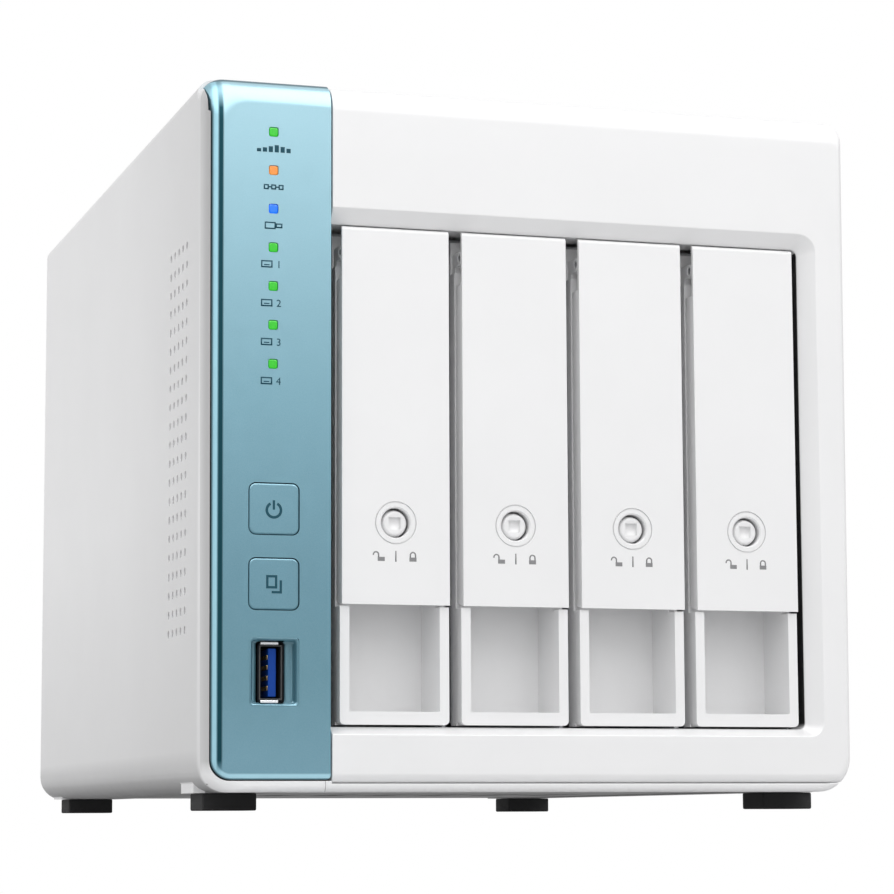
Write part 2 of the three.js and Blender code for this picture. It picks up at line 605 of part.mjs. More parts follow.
function makeTrayPin(i) {
  const x = trayX(i);
  return rod('x', PIVOT.y, PIVOT.z, PIVOT.pin, x - EAR.outer, x + EAR.outer, 12);
}

// The lock barrel has a square key socket in front and a short cam behind the door.
function makeTrayLock(i) {
  const x = trayX(i);
  const y0 = TRAY_FRONT + LOCK.sink;
  const camY = TRAY_FRONT + DOOR_THICKNESS + CLEARANCE;
  const barrel = rod('y', x, LOCK.z, LOCK.radius, y0, camY + 1, 20);
  const socket = box(x - 1.4, x + 1.4, y0 - 1, y0 + 1.6, LOCK.z - 1.4, LOCK.z + 1.4);
  const cam = box(x - 1.6, x + 1.6, camY, camY + 1.6, LOCK.z, LOCK.z + 6.2);
  return join(cut(barrel, socket), cam);
}

// ---- feet ---------------------------------------------------------------------------
function footPlaces() {
  return [
    [-FOOT.frontX, FOOT.frontY], [FOOT.frontX, FOOT.frontY],
    [-FOOT.rearX, FOOT.rearY], [FOOT.rearX, FOOT.rearY],
  ];
}

function makeFoot([x, y]) {
  const half = FOOT.size / 2;
  return prism('z', roundedRectangle(x - half, x + half, y - half, y + half, 1, 2), 0, FOOT.height);
}

// ---- assembly -----------------------------------------------------------------------
addNode('outer_shell', makeOuterShell(), WHITE);
addNode('base_plate', makeBasePlate(), WHITE);
addNode('front_bezel', makeFrontBezel(), WHITE);
addNode('accent_panel', makeAccentPanel(), TEAL);
addNode('rear_panel', makeRearPanel(), GREY_METAL);
addNode('drive_cage', makeDriveCage(), STEEL);
addNode('mainboard', makeMainboard(), BOARD_GREEN);
addNode('heat_sink', makeHeatSink(), STEEL);
addNode('backplane', makeBackplane(), BOARD_GREEN);
range(TRAY_COUNT).forEach((i) => addNode(`drive_connector_${i + 1}`, makeDriveConnector(i), BLACK));
addNode('front_board', makeFrontBoard(), BOARD_GREEN);
addNode('light_pipe', makeLightPipe(), LAMP_GREEN);
addNode('power_switch', makeSwitch(POWER_Z), BLACK);
addNode('copy_switch', makeSwitch(COPY_Z), BLACK);
addNode('front_usb_bezel', makeUsbPocket(), TEAL);
const usbBack = FRONT_BOARD_Y - 0.2;
addNode('front_usb_shell', usbShell(CONTROLS_X, USB_Z, USB_SHELL_Y, usbBack, -1), STEEL);
addNode('front_usb_tongue', usbTongue(CONTROLS_X, USB_Z, USB_SHELL_Y + 1, usbBack - 1), BLUE);
PORTS.usb.forEach((z, i) => addNode(`rear_usb_${i + 1}`, makeRearUsb(z), STEEL));
PORTS.lan.forEach((z, i) => addNode(`lan_port_${i + 1}`, makeLanPort(z), STEEL));
addNode('power_inlet', makePowerInlet(), BLACK);
addNode('reset_switch', makeResetSwitch(), BLACK);
addNode('reset_plunger', makeResetPlunger(), BLACK);
addNode('fan_frame', makeFanFrame(), BLACK);
addNode('fan_rotor', makeFanRotor(), BLACK);
addNode('fan_guard', makeFanGuard(), STEEL);
fanScrews().forEach(([x, z], i) => {
  addNode(`fan_screw_${i + 1}`, makeScrew(x, z, panelOuter + 1.05, 6), STEEL);
});
coverScrews().forEach(([x, z], i) => {
  addNode(`cover_screw_${i + 1}`, makeScrew(x, z, panelOuter + 0.1, 5), STEEL);
});
footPlaces().forEach((place, i) => addNode(`foot_${i + 1}`, makeFoot(place), RUBBER));
addNode('power_button', makeButton(POWER_Z), TEAL);
addNode('copy_button', makeButton(COPY_Z), TEAL);
range(TRAY_COUNT).forEach((i) => {
  addNode(`tray_carrier_${i + 1}`, makeTrayCarrier(i), WHITE);
  addNode(`tray_handle_${i + 1}`, makeTrayHandle(i), WHITE);
  addNode(`tray_pin_${i + 1}`, makeTrayPin(i), STEEL);
  addNode(`tray_lock_${i + 1}`, makeTrayLock(i), WHITE);
});

export default group;
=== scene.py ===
"""The looks of a desktop network storage enclosure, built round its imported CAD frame."""
from math import cos, pi, radians, sin, sqrt

import bmesh
import bpy
from mathutils import Matrix, Vector


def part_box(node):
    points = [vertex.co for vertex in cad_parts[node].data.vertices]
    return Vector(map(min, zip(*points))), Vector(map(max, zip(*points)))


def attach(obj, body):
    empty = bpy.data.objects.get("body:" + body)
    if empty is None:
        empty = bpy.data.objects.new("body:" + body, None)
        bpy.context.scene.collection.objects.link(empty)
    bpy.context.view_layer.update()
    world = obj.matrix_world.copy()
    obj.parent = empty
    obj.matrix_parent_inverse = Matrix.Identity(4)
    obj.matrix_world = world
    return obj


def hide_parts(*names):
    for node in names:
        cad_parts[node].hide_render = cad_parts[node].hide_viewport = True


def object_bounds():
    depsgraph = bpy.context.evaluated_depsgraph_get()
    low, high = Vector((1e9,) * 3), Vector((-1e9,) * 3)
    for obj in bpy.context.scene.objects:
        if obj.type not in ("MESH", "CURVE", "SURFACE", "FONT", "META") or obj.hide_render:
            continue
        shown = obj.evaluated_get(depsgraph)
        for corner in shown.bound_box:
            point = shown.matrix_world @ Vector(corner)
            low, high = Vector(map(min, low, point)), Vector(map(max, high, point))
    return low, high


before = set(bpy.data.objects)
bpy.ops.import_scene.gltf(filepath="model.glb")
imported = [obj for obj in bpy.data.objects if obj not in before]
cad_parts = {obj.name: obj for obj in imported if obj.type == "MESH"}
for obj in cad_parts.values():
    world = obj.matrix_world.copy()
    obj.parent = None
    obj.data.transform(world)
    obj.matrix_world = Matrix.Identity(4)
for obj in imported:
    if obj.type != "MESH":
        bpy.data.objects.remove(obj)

cad_low, cad_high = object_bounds()
MM = 0.001  # every length below is in millimetres until as_piece() scales it


# ---- places, read from the frame ----
class Span:
    """A CAD node's box, in millimetres."""

    def __init__(self, node):
        low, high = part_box(node)
        self.x0, self.y0, self.z0 = low / MM
        self.x1, self.y1, self.z1 = high / MM
        self.x, self.y, self.z = (low + high) / 2 / MM


LOW, HIGH = cad_low / MM, cad_high / MM
SIDE = HIGH.x
FRONT, REAR = LOW.y, HIGH.y
TOP = HIGH.z
PANEL = Span("accent_panel")
BEZEL = Span("front_bezel")
PLATE = Span("base_plate")
BASE = PLATE.z0
REAR_PANEL = Span("rear_panel")
TRAYS = range(1, 5)  # there are as many feet, drive connectors and fan screws

# the case
WALL = 2.2
CASE_RADII = (6.5, 8.0, 3.0, 3.5)  # lower left, lower right, upper right and upper left
FRONT_RADII = (6.5, 8.0, 2.4, 5.5)
LEFT_EDGE_RADIUS, RIGHT_EDGE_RADIUS = 5.0, 1.4
BROW_RADIUS, UNDER_RADIUS = 6.5, 1.6  # of the front's upper and lower edge
BROW_DEPTH = BEZEL.y1 - FRONT
RIGHT_LEAN = (0.3, 1.25)  # how far the right side stands in, at the top and at the bottom
SEAM = 0.3  # the gap between the front and the walls behind it
LEFT_PAD, RIGHT_PAD = 9.1, 5.8  # how far the pads over the feet reach past a foot's middle

# the control panel
PANEL_FACE = 0.04  # how far its face stands behind the case's front
PANEL_LEFT, PANEL_LEAN = -77.95, 0.45  # its left edge at the top, and how far that leans in lower down
PANEL_SPLIT = PANEL.x1  # its right edge
PANEL_BASE = PANEL.z0 + 0.75
PANEL_RADIUS = 4.5  # of its lower left corner
LAMP_SIZE = 2.3

# the front frame and its opening for the trays
BEZEL_LEFT = PANEL_SPLIT + 0.4
RIM_SPLIT = PANEL_SPLIT - 1.2  # where the rim under the front changes from cover to underside
OPEN_X1 = Span("tray_handle_4").x1 + 1.9
OPEN_Z0 = Span("tray_carrier_1").z0 - 0.1
OPEN_Z1 = Span("tray_handle_4").z1 + 1.2

# the trays
DOOR_GAP = 0.35
FACE_SET_BACK = 1.0  # how far a tray's lower face stands behind its door
TRAY_BASE = Span("tray_carrier_1").z0 + 0.45
LOCK_Z = Span("tray_lock_1").z0 + 3.6


# ---- outlines ----
def arc(a, b, radius, start, end, steps=8):
    angles = [radians(start + (end - start) * i / steps) for i in range(steps + 1)]
    return [(a + radius * cos(t), b + radius * sin(t)) for t in angles]


def rounded(a0, a1, b0, b1, radii, steps=8):
    """A rectangle with rounded corners, from its low-low corner round to low-high."""
    r = radii if isinstance(radii, tuple) else (radii,) * 4
    centres = [(a0 + r[0], b0 + r[0]), (a1 - r[1], b0 + r[1]), (a1 - r[2], b1 - r[2]), (a0 + r[3], b1 - r[3])]
    points = []
    for (a, b), radius, start in zip(centres, r, (180, 270, 0, 90)):
        points += arc(a, b, radius, start, start + 90, steps) if radius else [(a, b)]
    return points


def bar(a0, a1, b0, b1):
    return [(a0, b0), (a1, b0), (a1, b1), (a0, b1)]


def leaned(outline):
    """The case's outline with its right side leaning in towards the bottom."""
    upper, lower = RIGHT_LEAN
    return [(x - (upper + (lower - upper) * (1 - z / TOP) if x > 0 else 0), z) for x, z in outline]


def set_back(radius, depth):
    """How far a rounded edge stands back, at a depth behind the front."""
    return radius - sqrt(radius ** 2 - (radius - depth) ** 2) if depth < radius else 0


# ---- solids ----
TO_SPACE = {
    "x": lambda a, b, c: (c, a, b),
    "y": lambda a, b, c: (a, c, b),
    "z": lambda a, b, c: (a, b, c),
}


def add_object(name, data):
    obj = bpy.data.objects.new(name, data)
    bpy.context.scene.collection.objects.link(obj)
    return obj


def to_object(bm):
    bmesh.ops.recalc_face_normals(bm, faces=bm.faces)
    mesh = bpy.data.meshes.new("solid")
    bm.to_mesh(mesh)
    bm.free()
    return add_object("solid", mesh)


def loft(sections, closed=False):
    """A solid through rings of equal length, capped at both ends or, if closed, run round into itself."""
    bm = bmesh.new()
    rings = [[bm.verts.new(p) for p in ring] for ring in sections]
    count = len(rings[0])
    for one, two in zip(rings, rings[1:] + rings[:closed]):
        for i in range(count):
            j = (i + 1) % count
            bm.faces.new((one[i], one[j], two[j], two[i]))
    if not closed:
        bm.faces.new(rings[0][::-1])
        bm.faces.new(rings[-1])
    return to_object(bm)


def prism(axis, outline, low, high):
    place = TO_SPACE[axis]
    return loft([[place(a, b, c) for a, b in outline] for c in (low, high)])


def box(x0, x1, y0, y1, z0, z1):
    return prism("z", bar(x0, x1, y0, y1), z0, z1)


def rod(axis, a, b, radius, low, high, sides=32):
    return prism(axis, arc(a, b, radius, 0, 360, sides)[:-1], low, high)


def turned(axis, a, b, profile, sides=40):
    """A solid of revolution from (radius, place along the axis) pairs."""
    place = TO_SPACE[axis]
    return loft([[place(*p, c) for p in arc(a, b, r, 0, 360, sides)[:-1]] for r, c in profile])


def wire(points, radius, sides=8, closed=False):
    """A round wire along points, or round a closed loop of them."""
    points = [Vector(p) for p in points]
    rings = []
    count = len(points)
    for i, p in enumerate(points):
        before = points[i - 1] if i or closed else p
        after = points[(i + 1) % count] if i < count - 1 or closed else p
        along = (after - before).normalized()
        across = along.cross(Vector((0, 0, 1)) if abs(along.z) < 0.9 else Vector((0, 1, 0))).normalized()
        third = along.cross(across)
        rings.append([p + across * x + third * y for x, y in arc(0, 0, radius, 0, 360, sides)[:-1]])
    return loft(rings, closed)


def evaluated(obj):
    """Applies obj's modifiers."""
    graph = bpy.context.evaluated_depsgraph_get()
    mesh = bpy.data.meshes.new_from_object(
        obj.evaluated_get(graph), preserve_all_data_layers=True, depsgraph=graph)
    obj.modifiers.clear()
    obj.data = mesh
    return obj


def combine(target, tools, operation):
    for tool in tools:
        modifier = target.modifiers.new("combine", "BOOLEAN")
        modifier.object = tool
        modifier.operation = operation
        modifier.solver = "EXACT"
    evaluated(target)
    for tool in tools:
        bpy.data.objects.remove(tool)
    return target


def cut(target, *tools):
    return combine(target, tools, "DIFFERENCE")


def join(target, *tools):
    return combine(target, tools, "UNION")


def keep(target, tool):
    return combine(target, [tool], "INTERSECT")


def gather(objects):
    """Several separate solids as one object."""
    bm = bmesh.new()
    for obj in objects:
        bm.from_mesh(obj.data)
        bpy.data.objects.remove(obj)
    return to_object(bm)


def add_rounding(obj, width, segments, sharp):
    rounding = obj.modifiers.new("rounding", "BEVEL")
    rounding.width = width
    rounding.segments = segments
    rounding.limit_method = "ANGLE"
    rounding.angle_limit = radians(sharp)
    return rounding


def shade_evenly(obj):
    """Smooth shading that keeps large faces flat."""
    obj.data.shade_smooth()
    weighted = obj.modifiers.new("weighted", "WEIGHTED_NORMAL")
    weighted.keep_sharp = True


def as_piece(obj, name, look, replaces=(), body="case", bevel=0.25, segments=2, sharp=32):
    """Rounds a solid's edges, turns it into metres, gives it its look's material and hangs it on its body."""
    slot, material = look
    bm = bmesh.new()
    bm.from_mesh(obj.data)
    bmesh.ops.remove_doubles(bm, verts=bm.verts, dist=0.002)
    bmesh.ops.dissolve_limit(bm, angle_limit=radians(0.3), verts=bm.verts, edges=bm.edges)
    bmesh.ops.recalc_face_normals(bm, faces=bm.faces)
    bm.to_mesh(obj.data)
    bm.free()
    if bevel:
        add_rounding(obj, bevel, segments, sharp).miter_outer = "MITER_ARC"
        evaluated(obj)
    obj.data.transform(Matrix.Scale(MM, 4))
    shade_evenly(obj)
    evaluated(obj)
    obj.name = obj.data.name = name
    obj.data.materials.clear()
    obj.data.materials.append(material)
    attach(obj, body)
    if replaces:
        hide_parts(*([replaces] if isinstance(replaces, str) else replaces))
    return obj


# ---- materials ----
class Tree:
    """A material's or world's node tree, with short ways to add to it."""

    def __init__(self, owner):
        owner.use_nodes = True
        self.tree = owner.node_tree

    def add(self, kind, **settings):
        node = self.tree.nodes.new(kind)
        for key, value in settings.items():
            setattr(node, key, value)
        return node

    def link(self, source, target):
        self.tree.links.new(source, target)

    def math(self, operation, *values, clamp=False):
        node = self.add("ShaderNodeMath", operation=operation, use_clamp=clamp)
        for socket, value in zip(node.inputs, values):
            if isinstance(value, (int, float)):
                socket.default_value = value
            else:
                self.link(value, socket)
        return node.outputs[0]

    def blend(self, factor, one, two, output):
        """Ends the tree with a mix of two shaders."""
        node = self.add("ShaderNodeMixShader")
        for source, socket in zip((factor, one, two), node.inputs):
            self.link(source, socket)
        self.link(node.outputs[0], self.tree.nodes[output].inputs["Surface"])


class Nodes(Tree):
    """A material's nodes, round its shader."""

    def __init__(self, name):
        self.material = bpy.data.materials.new(name)
        super().__init__(self.material)
        self.shader = self.tree.nodes["Principled BSDF"]
        self.place = self.add("ShaderNodeTexCoord").outputs["Object"]

    def product(self, result, *others):
        for value in others:
            result = self.math("MULTIPLY", result, value)
        return result

    def axes(self):
        """Where a point of the surface stands, in millimetres."""
        split = self.add("ShaderNodeSeparateXYZ")
        self.link(self.place, split.inputs[0])
        return [self.math("DIVIDE", split.outputs[axis], MM) for axis in "XYZ"]

    def past(self, value, start, length):
        """Nothing before start, rising to one over the length after it; a negative length runs downwards."""
        return self.math("DIVIDE", self.math("SUBTRACT", value, start), length, clamp=True)

    def near(self, value, place, half, soft):
        """One within half of the place, falling to nothing over the soft width outside it."""
        offset = self.math("ABSOLUTE", self.math("SUBTRACT", value, place))
        outside = self.math("DIVIDE", self.math("SUBTRACT", offset, half), soft, clamp=True)
        return self.math("SUBTRACT", 1.0, outside, clamp=True)

    def noise(self, scale, detail=2.0, stretch=(1, 1, 1)):
        mapping = self.add("ShaderNodeMapping")
        mapping.inputs["Scale"].default_value = stretch
        self.link(self.place, mapping.inputs["Vector"])
        node = self.add("ShaderNodeTexNoise")
        node.inputs["Scale"].default_value = scale
        node.inputs["Detail"].default_value = detail
        self.link(mapping.outputs[0], node.inputs["Vector"])
        return node.outputs["Fac"]

    def between(self, factor, low, high):
        """A number that runs from low to high as factor runs from 0 to 1."""
        node = self.add("ShaderNodeMapRange")
        node.inputs["To Min"].default_value = low
        node.inputs["To Max"].default_value = high
        self.link(factor, node.inputs["Value"])
        return node.outputs[0]

    def mix(self, factor, one, two):
        node = self.add("ShaderNodeMix", data_type="RGBA")
        for socket, value in ((node.inputs[0], factor), (node.inputs[6], one), (node.inputs[7], two)):
            if isinstance(value, bpy.types.NodeSocket):
                self.link(value, socket)
            elif isinstance(value, (int, float)):
                socket.default_value = value
            else:
                socket.default_value = (*value, 1)
        return node.outputs[2]

    def bump(self, height, strength, distance):
        node = self.add("ShaderNodeBump")
        node.inputs["Strength"].default_value = strength
        node.inputs["Distance"].default_value = distance
        self.link(height, node.inputs["Height"])
        self.link(node.outputs[0], self.shader.inputs["Normal"])

    def constant(self, **values):
        for key, value in values.items():
            self.shader.inputs[key.replace("_", " ")].default_value = value


def grey(level):
    return (level, level, level + 0.003)


def moulded(name, colour, rough, grain=2600, depth=0.04, mottle=0.012, shading=None, **constants):
    """A moulded or painted surface: faint mottling, uneven gloss and a fine grain.
    When a shading function is given, it lays painted shade over the colour.
    """
    n = Nodes(name)
    dark = tuple(c * (1 - mottle * 3) for c in colour)
    light = tuple(min(1, c * (1 + mottle)) for c in colour)
    tone = n.mix(n.noise(38, 3), dark, light)
    n.link(shading(n, tone) if shading else tone, n.shader.inputs["Base Color"])
    n.link(n.between(n.noise(140, 4), rough - 0.05, rough + 0.05), n.shader.inputs["Roughness"])
    n.bump(n.noise(grain, 2), depth, 0.00005)
    n.constant(**constants)
    return n.material


def brushed(name, colour, rough, stretch, **constants):
    """Bare metal with fine lines along one direction."""
    n = Nodes(name)
    lines = n.noise(900, 3, stretch)
    n.link(n.mix(lines, tuple(c * 0.82 for c in colour), colour), n.shader.inputs["Base Color"])
    n.link(n.between(lines, rough - 0.08, rough + 0.1), n.shader.inputs["Roughness"])
    n.bump(lines, 0.08, 0.00003)
    n.constant(Metallic=1.0, **constants)
    return n.material


def spangled(name, colour, rough):
    """Zinc-coated sheet: flat crystals of slightly different brightness."""
    n = Nodes(name)
    cells = n.add("ShaderNodeTexVoronoi")
    cells.inputs["Scale"].default_value = 160
    n.link(n.place, cells.inputs["Vector"])
    share = n.add("ShaderNodeSeparateColor")
    n.link(cells.outputs["Color"], share.inputs[0])
    tone = n.mix(share.outputs[0], tuple(c * 0.86 for c in colour), colour)
    n.link(tone, n.shader.inputs["Base Color"])
    n.link(n.between(share.outputs[1], rough - 0.07, rough + 0.1), n.shader.inputs["Roughness"])
    n.bump(n.noise(1200, 2), 0.03, 0.00005)
    n.constant(Metallic=0.85)
    return n.material


def cover_shading(n, tone):
    """Painted shade in darker greys: on the front left edge, where the panel's shadow falls, on the curve under
    the sides except at two foot pads, and on the left side low down and towards the front."""
    x, y, z = n.axes()
    edge_start = 106.75
    depth = n.math("SUBTRACT", n.math("MULTIPLY", z, 0.011), y)     # the edge leans forwards with height
    # painted shade on the front left edge, darker towards the front
    edge = n.product(n.past(depth, edge_start, 0.25), n.past(x, -77.1, -0.3), n.past(z, 8, 3))
    tone = n.mix(edge, tone, n.mix(n.past(depth, edge_start, 3.5), grey(0.57), grey(0.42)))
    pads = n.math("ADD", *[
        n.product(n.near(y, foot.y, 6.7, 0.2), n.near(x, foot.x - 7.9, 1.4, 0.2))
        for foot in (Span("foot_1"), Span("foot_3"))])
    pads = n.product(pads, n.past(z, 6.7, -0.3))
    # painted shade on the curve under the sides, darker low down, except over the foot pads
    curve = n.product(
        n.past(z, 13.5, -5), n.math("SUBTRACT", 1, pads), n.past(n.math("ABSOLUTE", x), 56, 1),
        n.past(y, -106.5, 1.5))
    tone = n.mix(curve, tone, n.mix(n.past(z, 8.5, -3.5), grey(0.46), grey(0.3)))
    # painted shade on the left side, darker low down and towards the front
    side = n.past(x, -79, -0.5)
    for fade, strength in ((n.past(z, 75, -65), 0.42), (n.past(y, -20, -85), 0.27)):
        tone = n.mix(n.product(fade, side, strength), tone, grey(0.55))
    return tone


def underside_shading(n, tone):
    """Painted shade: the underside is painted darker behind the rim under the front."""
    return n.mix(n.past(n.axes()[1], BEZEL.y1, 0.6), tone, grey(0.4))


def frame_shading(n, tone):
    """The frame's right wall is black beside the trays, where no light reaches."""
    x, y, z = n.axes()
    deep = n.product(
        n.near(x, OPEN_X1, 0.25, 0.1), n.past(y, FRONT + 3.0, 0.3),
        n.product(n.past(z, OPEN_Z0 + 0.3, 1.2), n.past(z, OPEN_Z1 + 0.6, -0.3)))
    return n.mix(deep, tone, (0.008, 0.008, 0.008))


def lacquer(name, stops, flank_highlight, groove, rim):
    """Metallic lacquer with painted reflection: lighter towards the top, a painted highlight band along its
    rounded left and lower edges and a painted dark reflection band beside it on the left; a darker outline runs
    along its left, lower and top edges.
    """
    n = Nodes(name)
    x, _, z = n.axes()
    # the stops are the teal's own colour with a painted reflection, which lightens it towards the top
    low, face = stops[0]
    for high, tint in stops[1:]:
        face, low = n.mix(n.past(z, low, high - low), face, tint), high
    flakes = n.noise(5200, 2)
    face = n.mix(n.between(flakes, 0.0, 0.12), face, (0.62, 0.78, 0.84))
    lean = n.math("MULTIPLY", z, PANEL_LEAN / 160)
    from_left = n.math("SUBTRACT", n.math("ADD", x, lean), PANEL_LEFT + PANEL_LEAN)
    from_base = n.math("SUBTRACT", z, PANEL_BASE)
    short = [n.math("MAXIMUM", n.math("SUBTRACT", PANEL_RADIUS, value), 0) for value in (from_left, from_base)]
    reach = n.math("SQRT", n.math("ADD", *[n.product(value, value) for value in short]))
    from_edge = n.math("SUBTRACT", PANEL_RADIUS, reach)
    # painted highlight: a light band just inside the rounded left and lower edges
    light = n.near(from_edge, 0.75, 0.35, 0.35)
    # a darker outline along the left and lower edges, and along the top
    outline = n.product(n.past(from_edge, 0.4, -0.25), n.past(z, 161.5, -2))
    outline = n.math("MAXIMUM", outline, n.past(z, TOP - 1.35, 0.3))
    # painted dark reflection: a dark band on the left edge, inside the highlight, fainter towards the top
    dark = n.product(
        n.near(from_left, 1.95, 0.36, 0.42), n.past(from_base, 1.6, 2.6),
        n.between(n.past(z, 160.5, 4), 1.0, 0.3))
    colour = n.mix(light, face, flank_highlight)
    # the groove colour paints the dark reflection band; no groove is cut in the panel
    colour = n.mix(dark, colour, groove)
    colour = n.mix(outline, colour, rim)
    n.link(colour, n.shader.inputs["Base Color"])
    matt = n.math("MAXIMUM", n.math("MAXIMUM", dark, outline), n.past(from_left, 2.5, -0.4))
    n.link(n.between(n.noise(300, 3), 0.3, 0.4), n.shader.inputs["Roughness"])
    n.link(n.between(matt, 0.5, 0.0), n.shader.inputs["Coat Weight"])
    n.link(n.between(matt, 0.5, 0.05), n.shader.inputs["Specular IOR Level"])
    n.bump(flakes, 0.05, 0.00003)
    n.constant(Metallic=0.3, Coat_Roughness=0.12)
    return n.material


def lamp_glow(name, colour, strength):
    """A lit lens: its glow varies a little from place to place, with the moulded lens's own sheen."""
    n = Nodes(name)
    tone = n.mix(n.noise(1800, 2), tuple(c * 0.7 for c in colour), colour)
    for socket in ("Base Color", "Emission Color"):
        n.link(tone, n.shader.inputs[socket])
    n.constant(Emission_Strength=strength, Roughness=0.25)
    return n.material


def board_finish(name):
    """Solder mask over copper tracks."""
    n = Nodes(name)
    tracks = n.add("ShaderNodeTexBrick")
    tracks.inputs["Scale"].default_value = 260
    tracks.inputs["Mortar Size"].default_value = 0.06
    tracks.inputs["Color1"].default_value = (0.02, 0.16, 0.07, 1)
    tracks.inputs["Color2"].default_value = (0.016, 0.13, 0.06, 1)
    tracks.inputs["Mortar"].default_value = (0.05, 0.26, 0.12, 1)
    n.link(n.place, tracks.inputs["Vector"])
    n.link(tracks.outputs["Color"], n.shader.inputs["Base Color"])
    n.link(n.between(n.noise(200, 3), 0.3, 0.5), n.shader.inputs["Roughness"])
    n.bump(tracks.outputs["Fac"], 0.15, 0.00004)
    return n.material


# a look is a slot's name and its material
# the same white plastic four times: plain, and in copies with painted shade on the cover, the underside and the
# frame
WHITE, COVER_WHITE_SHADED, UNDER_WHITE_SHADED, FRAME_WHITE_SHADED = [
    ("white_case", moulded(f"{name}_plastic", (0.83, 0.83, 0.835), 0.42, shading=shading))
    for name, shading in (("white", None), ("cover", cover_shading), ("underside", underside_shading),
                          ("frame", frame_shading))]
TRAY_WHITE = "white_tray", moulded("tray_plastic", (0.84, 0.84, 0.845), 0.38, grain=2200, depth=0.03)
TEAL_AND_REFLECTION_STOPS = (
    # height, colour: the teal's own colour with a painted reflection, lightest towards the top
    (11, (0.09, 0.235, 0.306)),
    (30, (0.06, 0.191, 0.25)),
    (52, (0.062, 0.194, 0.258)),
    (95, (0.11, 0.268, 0.338)),
    (141, (0.191, 0.367, 0.439)),
    (160, (0.22, 0.4, 0.47)),
)
# after the stops: the painted highlight band, the painted dark reflection band and the darker outline
TEAL = "teal_panel", lacquer(
    "teal_lacquer", TEAL_AND_REFLECTION_STOPS, (0.31, 0.54, 0.63), (0.008, 0.045, 0.06), (0.09, 0.16, 0.19))
BLACK = "black_plastic", moulded("black_plastic", (0.012, 0.012, 0.013), 0.5, mottle=0.05)
RUBBER = "foot_rubber", moulded("foot_rubber", (0.016, 0.016, 0.017), 0.72, grain=1500, depth=0.12, mottle=0.06)
BLUE = "blue_plastic", moulded("blue_plastic", (0.002, 0.055, 0.34), 0.5, mottle=0.03, Specular_IOR_Level=0.12)
STEEL = "bright_steel", brushed("plated_steel", (0.72, 0.73, 0.75), 0.26, (1, 1, 0.06))
# painted shade: steel coloured almost black, as a socket's can looks deep inside its pocket
SHADED_STEEL = "bright_steel", brushed("shaded_steel", (0.008, 0.009, 0.011), 0.4, (1, 1, 0.06))
ALUMINIUM = brushed("extruded_aluminium", (0.78, 0.79, 0.8), 0.35, (1, 0.05, 1))
SHEET = spangled("zinc_sheet", (0.55, 0.56, 0.58), 0.42)
GOLD = "contact_gold", brushed("gold_plate", (0.83, 0.6, 0.24), 0.22, (1, 0.1, 1))
BOARD = board_finish("circuit_board")
INK_GREY = "print_grey", moulded("grey_ink", (0.2, 0.2, 0.205), 0.6, mottle=0.04)
INK_TEAL = "print_teal", moulded("teal_ink", (0.012, 0.07, 0.1), 0.7, mottle=0.04, Specular_IOR_Level=0.15)
GREEN_LAMP = "lamp_green", lamp_glow("green_lens", (0.02, 0.5, 0.01), 0.38)
ORANGE_LAMP = "lamp_orange", lamp_glow("orange_lens", (0.8, 0.26, 0.04), 0.42)
BLUE_LAMP = "lamp_blue", lamp_glow("blue_lens", (0.0, 0.15, 0.85), 0.6)
CLEAR = "lamp_green", moulded("clear_guide", (0.7, 0.8, 0.78), 0.2)


# ---- outer case ----
STEPS = 14  # in the rounding of the front
DEPTHS = [BROW_DEPTH * (1 - cos(pi / 2 * i / STEPS)) for i in range(STEPS + 1)]


def front_form(top, face=0.0, base=BASE, chin=UNDER_RADIUS, tail=0.0):
    """The front's outer form: the case's outline, no lower than base, with its edges rounded back."""
    rings = []
    for depth in DEPTHS:
        left = -SIDE + set_back(LEFT_EDGE_RADIUS, depth)
        right = SIDE - set_back(RIGHT_EDGE_RADIUS, depth)
        upper = top - set_back(BROW_RADIUS, depth)
        lower = base + set_back(chin, depth)
        outline = rounded(left, right, BASE + set_back(UNDER_RADIUS, depth), upper, FRONT_RADII, STEPS)
        rings.append([(x, FRONT + face + depth, max(z, lower)) for x, z in leaned(outline)])
    if tail:
        rings.append([(x, y + tail, z) for x, y, z in rings[-1]])
    return loft(rings)


# (x, z) down the panel's upper left edge, and down the edge of the opening it stands in
EAR = ((-SIDE - 1, 167.2), (-79.3, 166.6), (-79.02, 166.1), (-78.92, 165.0), (-78.49, 163.65),
       (-78.17, 162.45), (-78.06, 161.3), (-78.02, 160.0), (PANEL_LEFT, 158.8))
EAR_NOTCH = ((-SIDE - 1, 167.05), (-79.4, 166.45), (-79.12, 166.0), (-79.12, 164.9), (-78.9, 163.6),
             (-78.8, 162.45), (-78.78, 161.4), (-78.72, 160.0), (PANEL_LEFT - 0.3, 159.7))


def panel_region(gap=0.0):
    """The accent panel's outline from the front, or, with a gap, the opening it stands in."""
    left, base, right = PANEL_LEFT + PANEL_LEAN - gap, PANEL_BASE - gap, PANEL_SPLIT + gap
    return [
        *arc(left + PANEL_RADIUS, base + PANEL_RADIUS, PANEL_RADIUS, 180, 270, 10),
        *arc(right - 1, base + 1, 1, 270, 360, 4),
        (right, TOP + 1), (-SIDE - 1, TOP + 1),
        *(EAR_NOTCH if gap else EAR),
    ]


def vent_holes():
    """Rows of small round holes through both side walls."""
    columns = [FRONT + 18 + 4.5 * i for i in range(5)]
    rows = [41.3 + 4.5 * k for k in range(21)]
    return gather([rod("x", y, z, 0.98, -SIDE - 2, SIDE + 2, 14) for y in columns for z in rows])


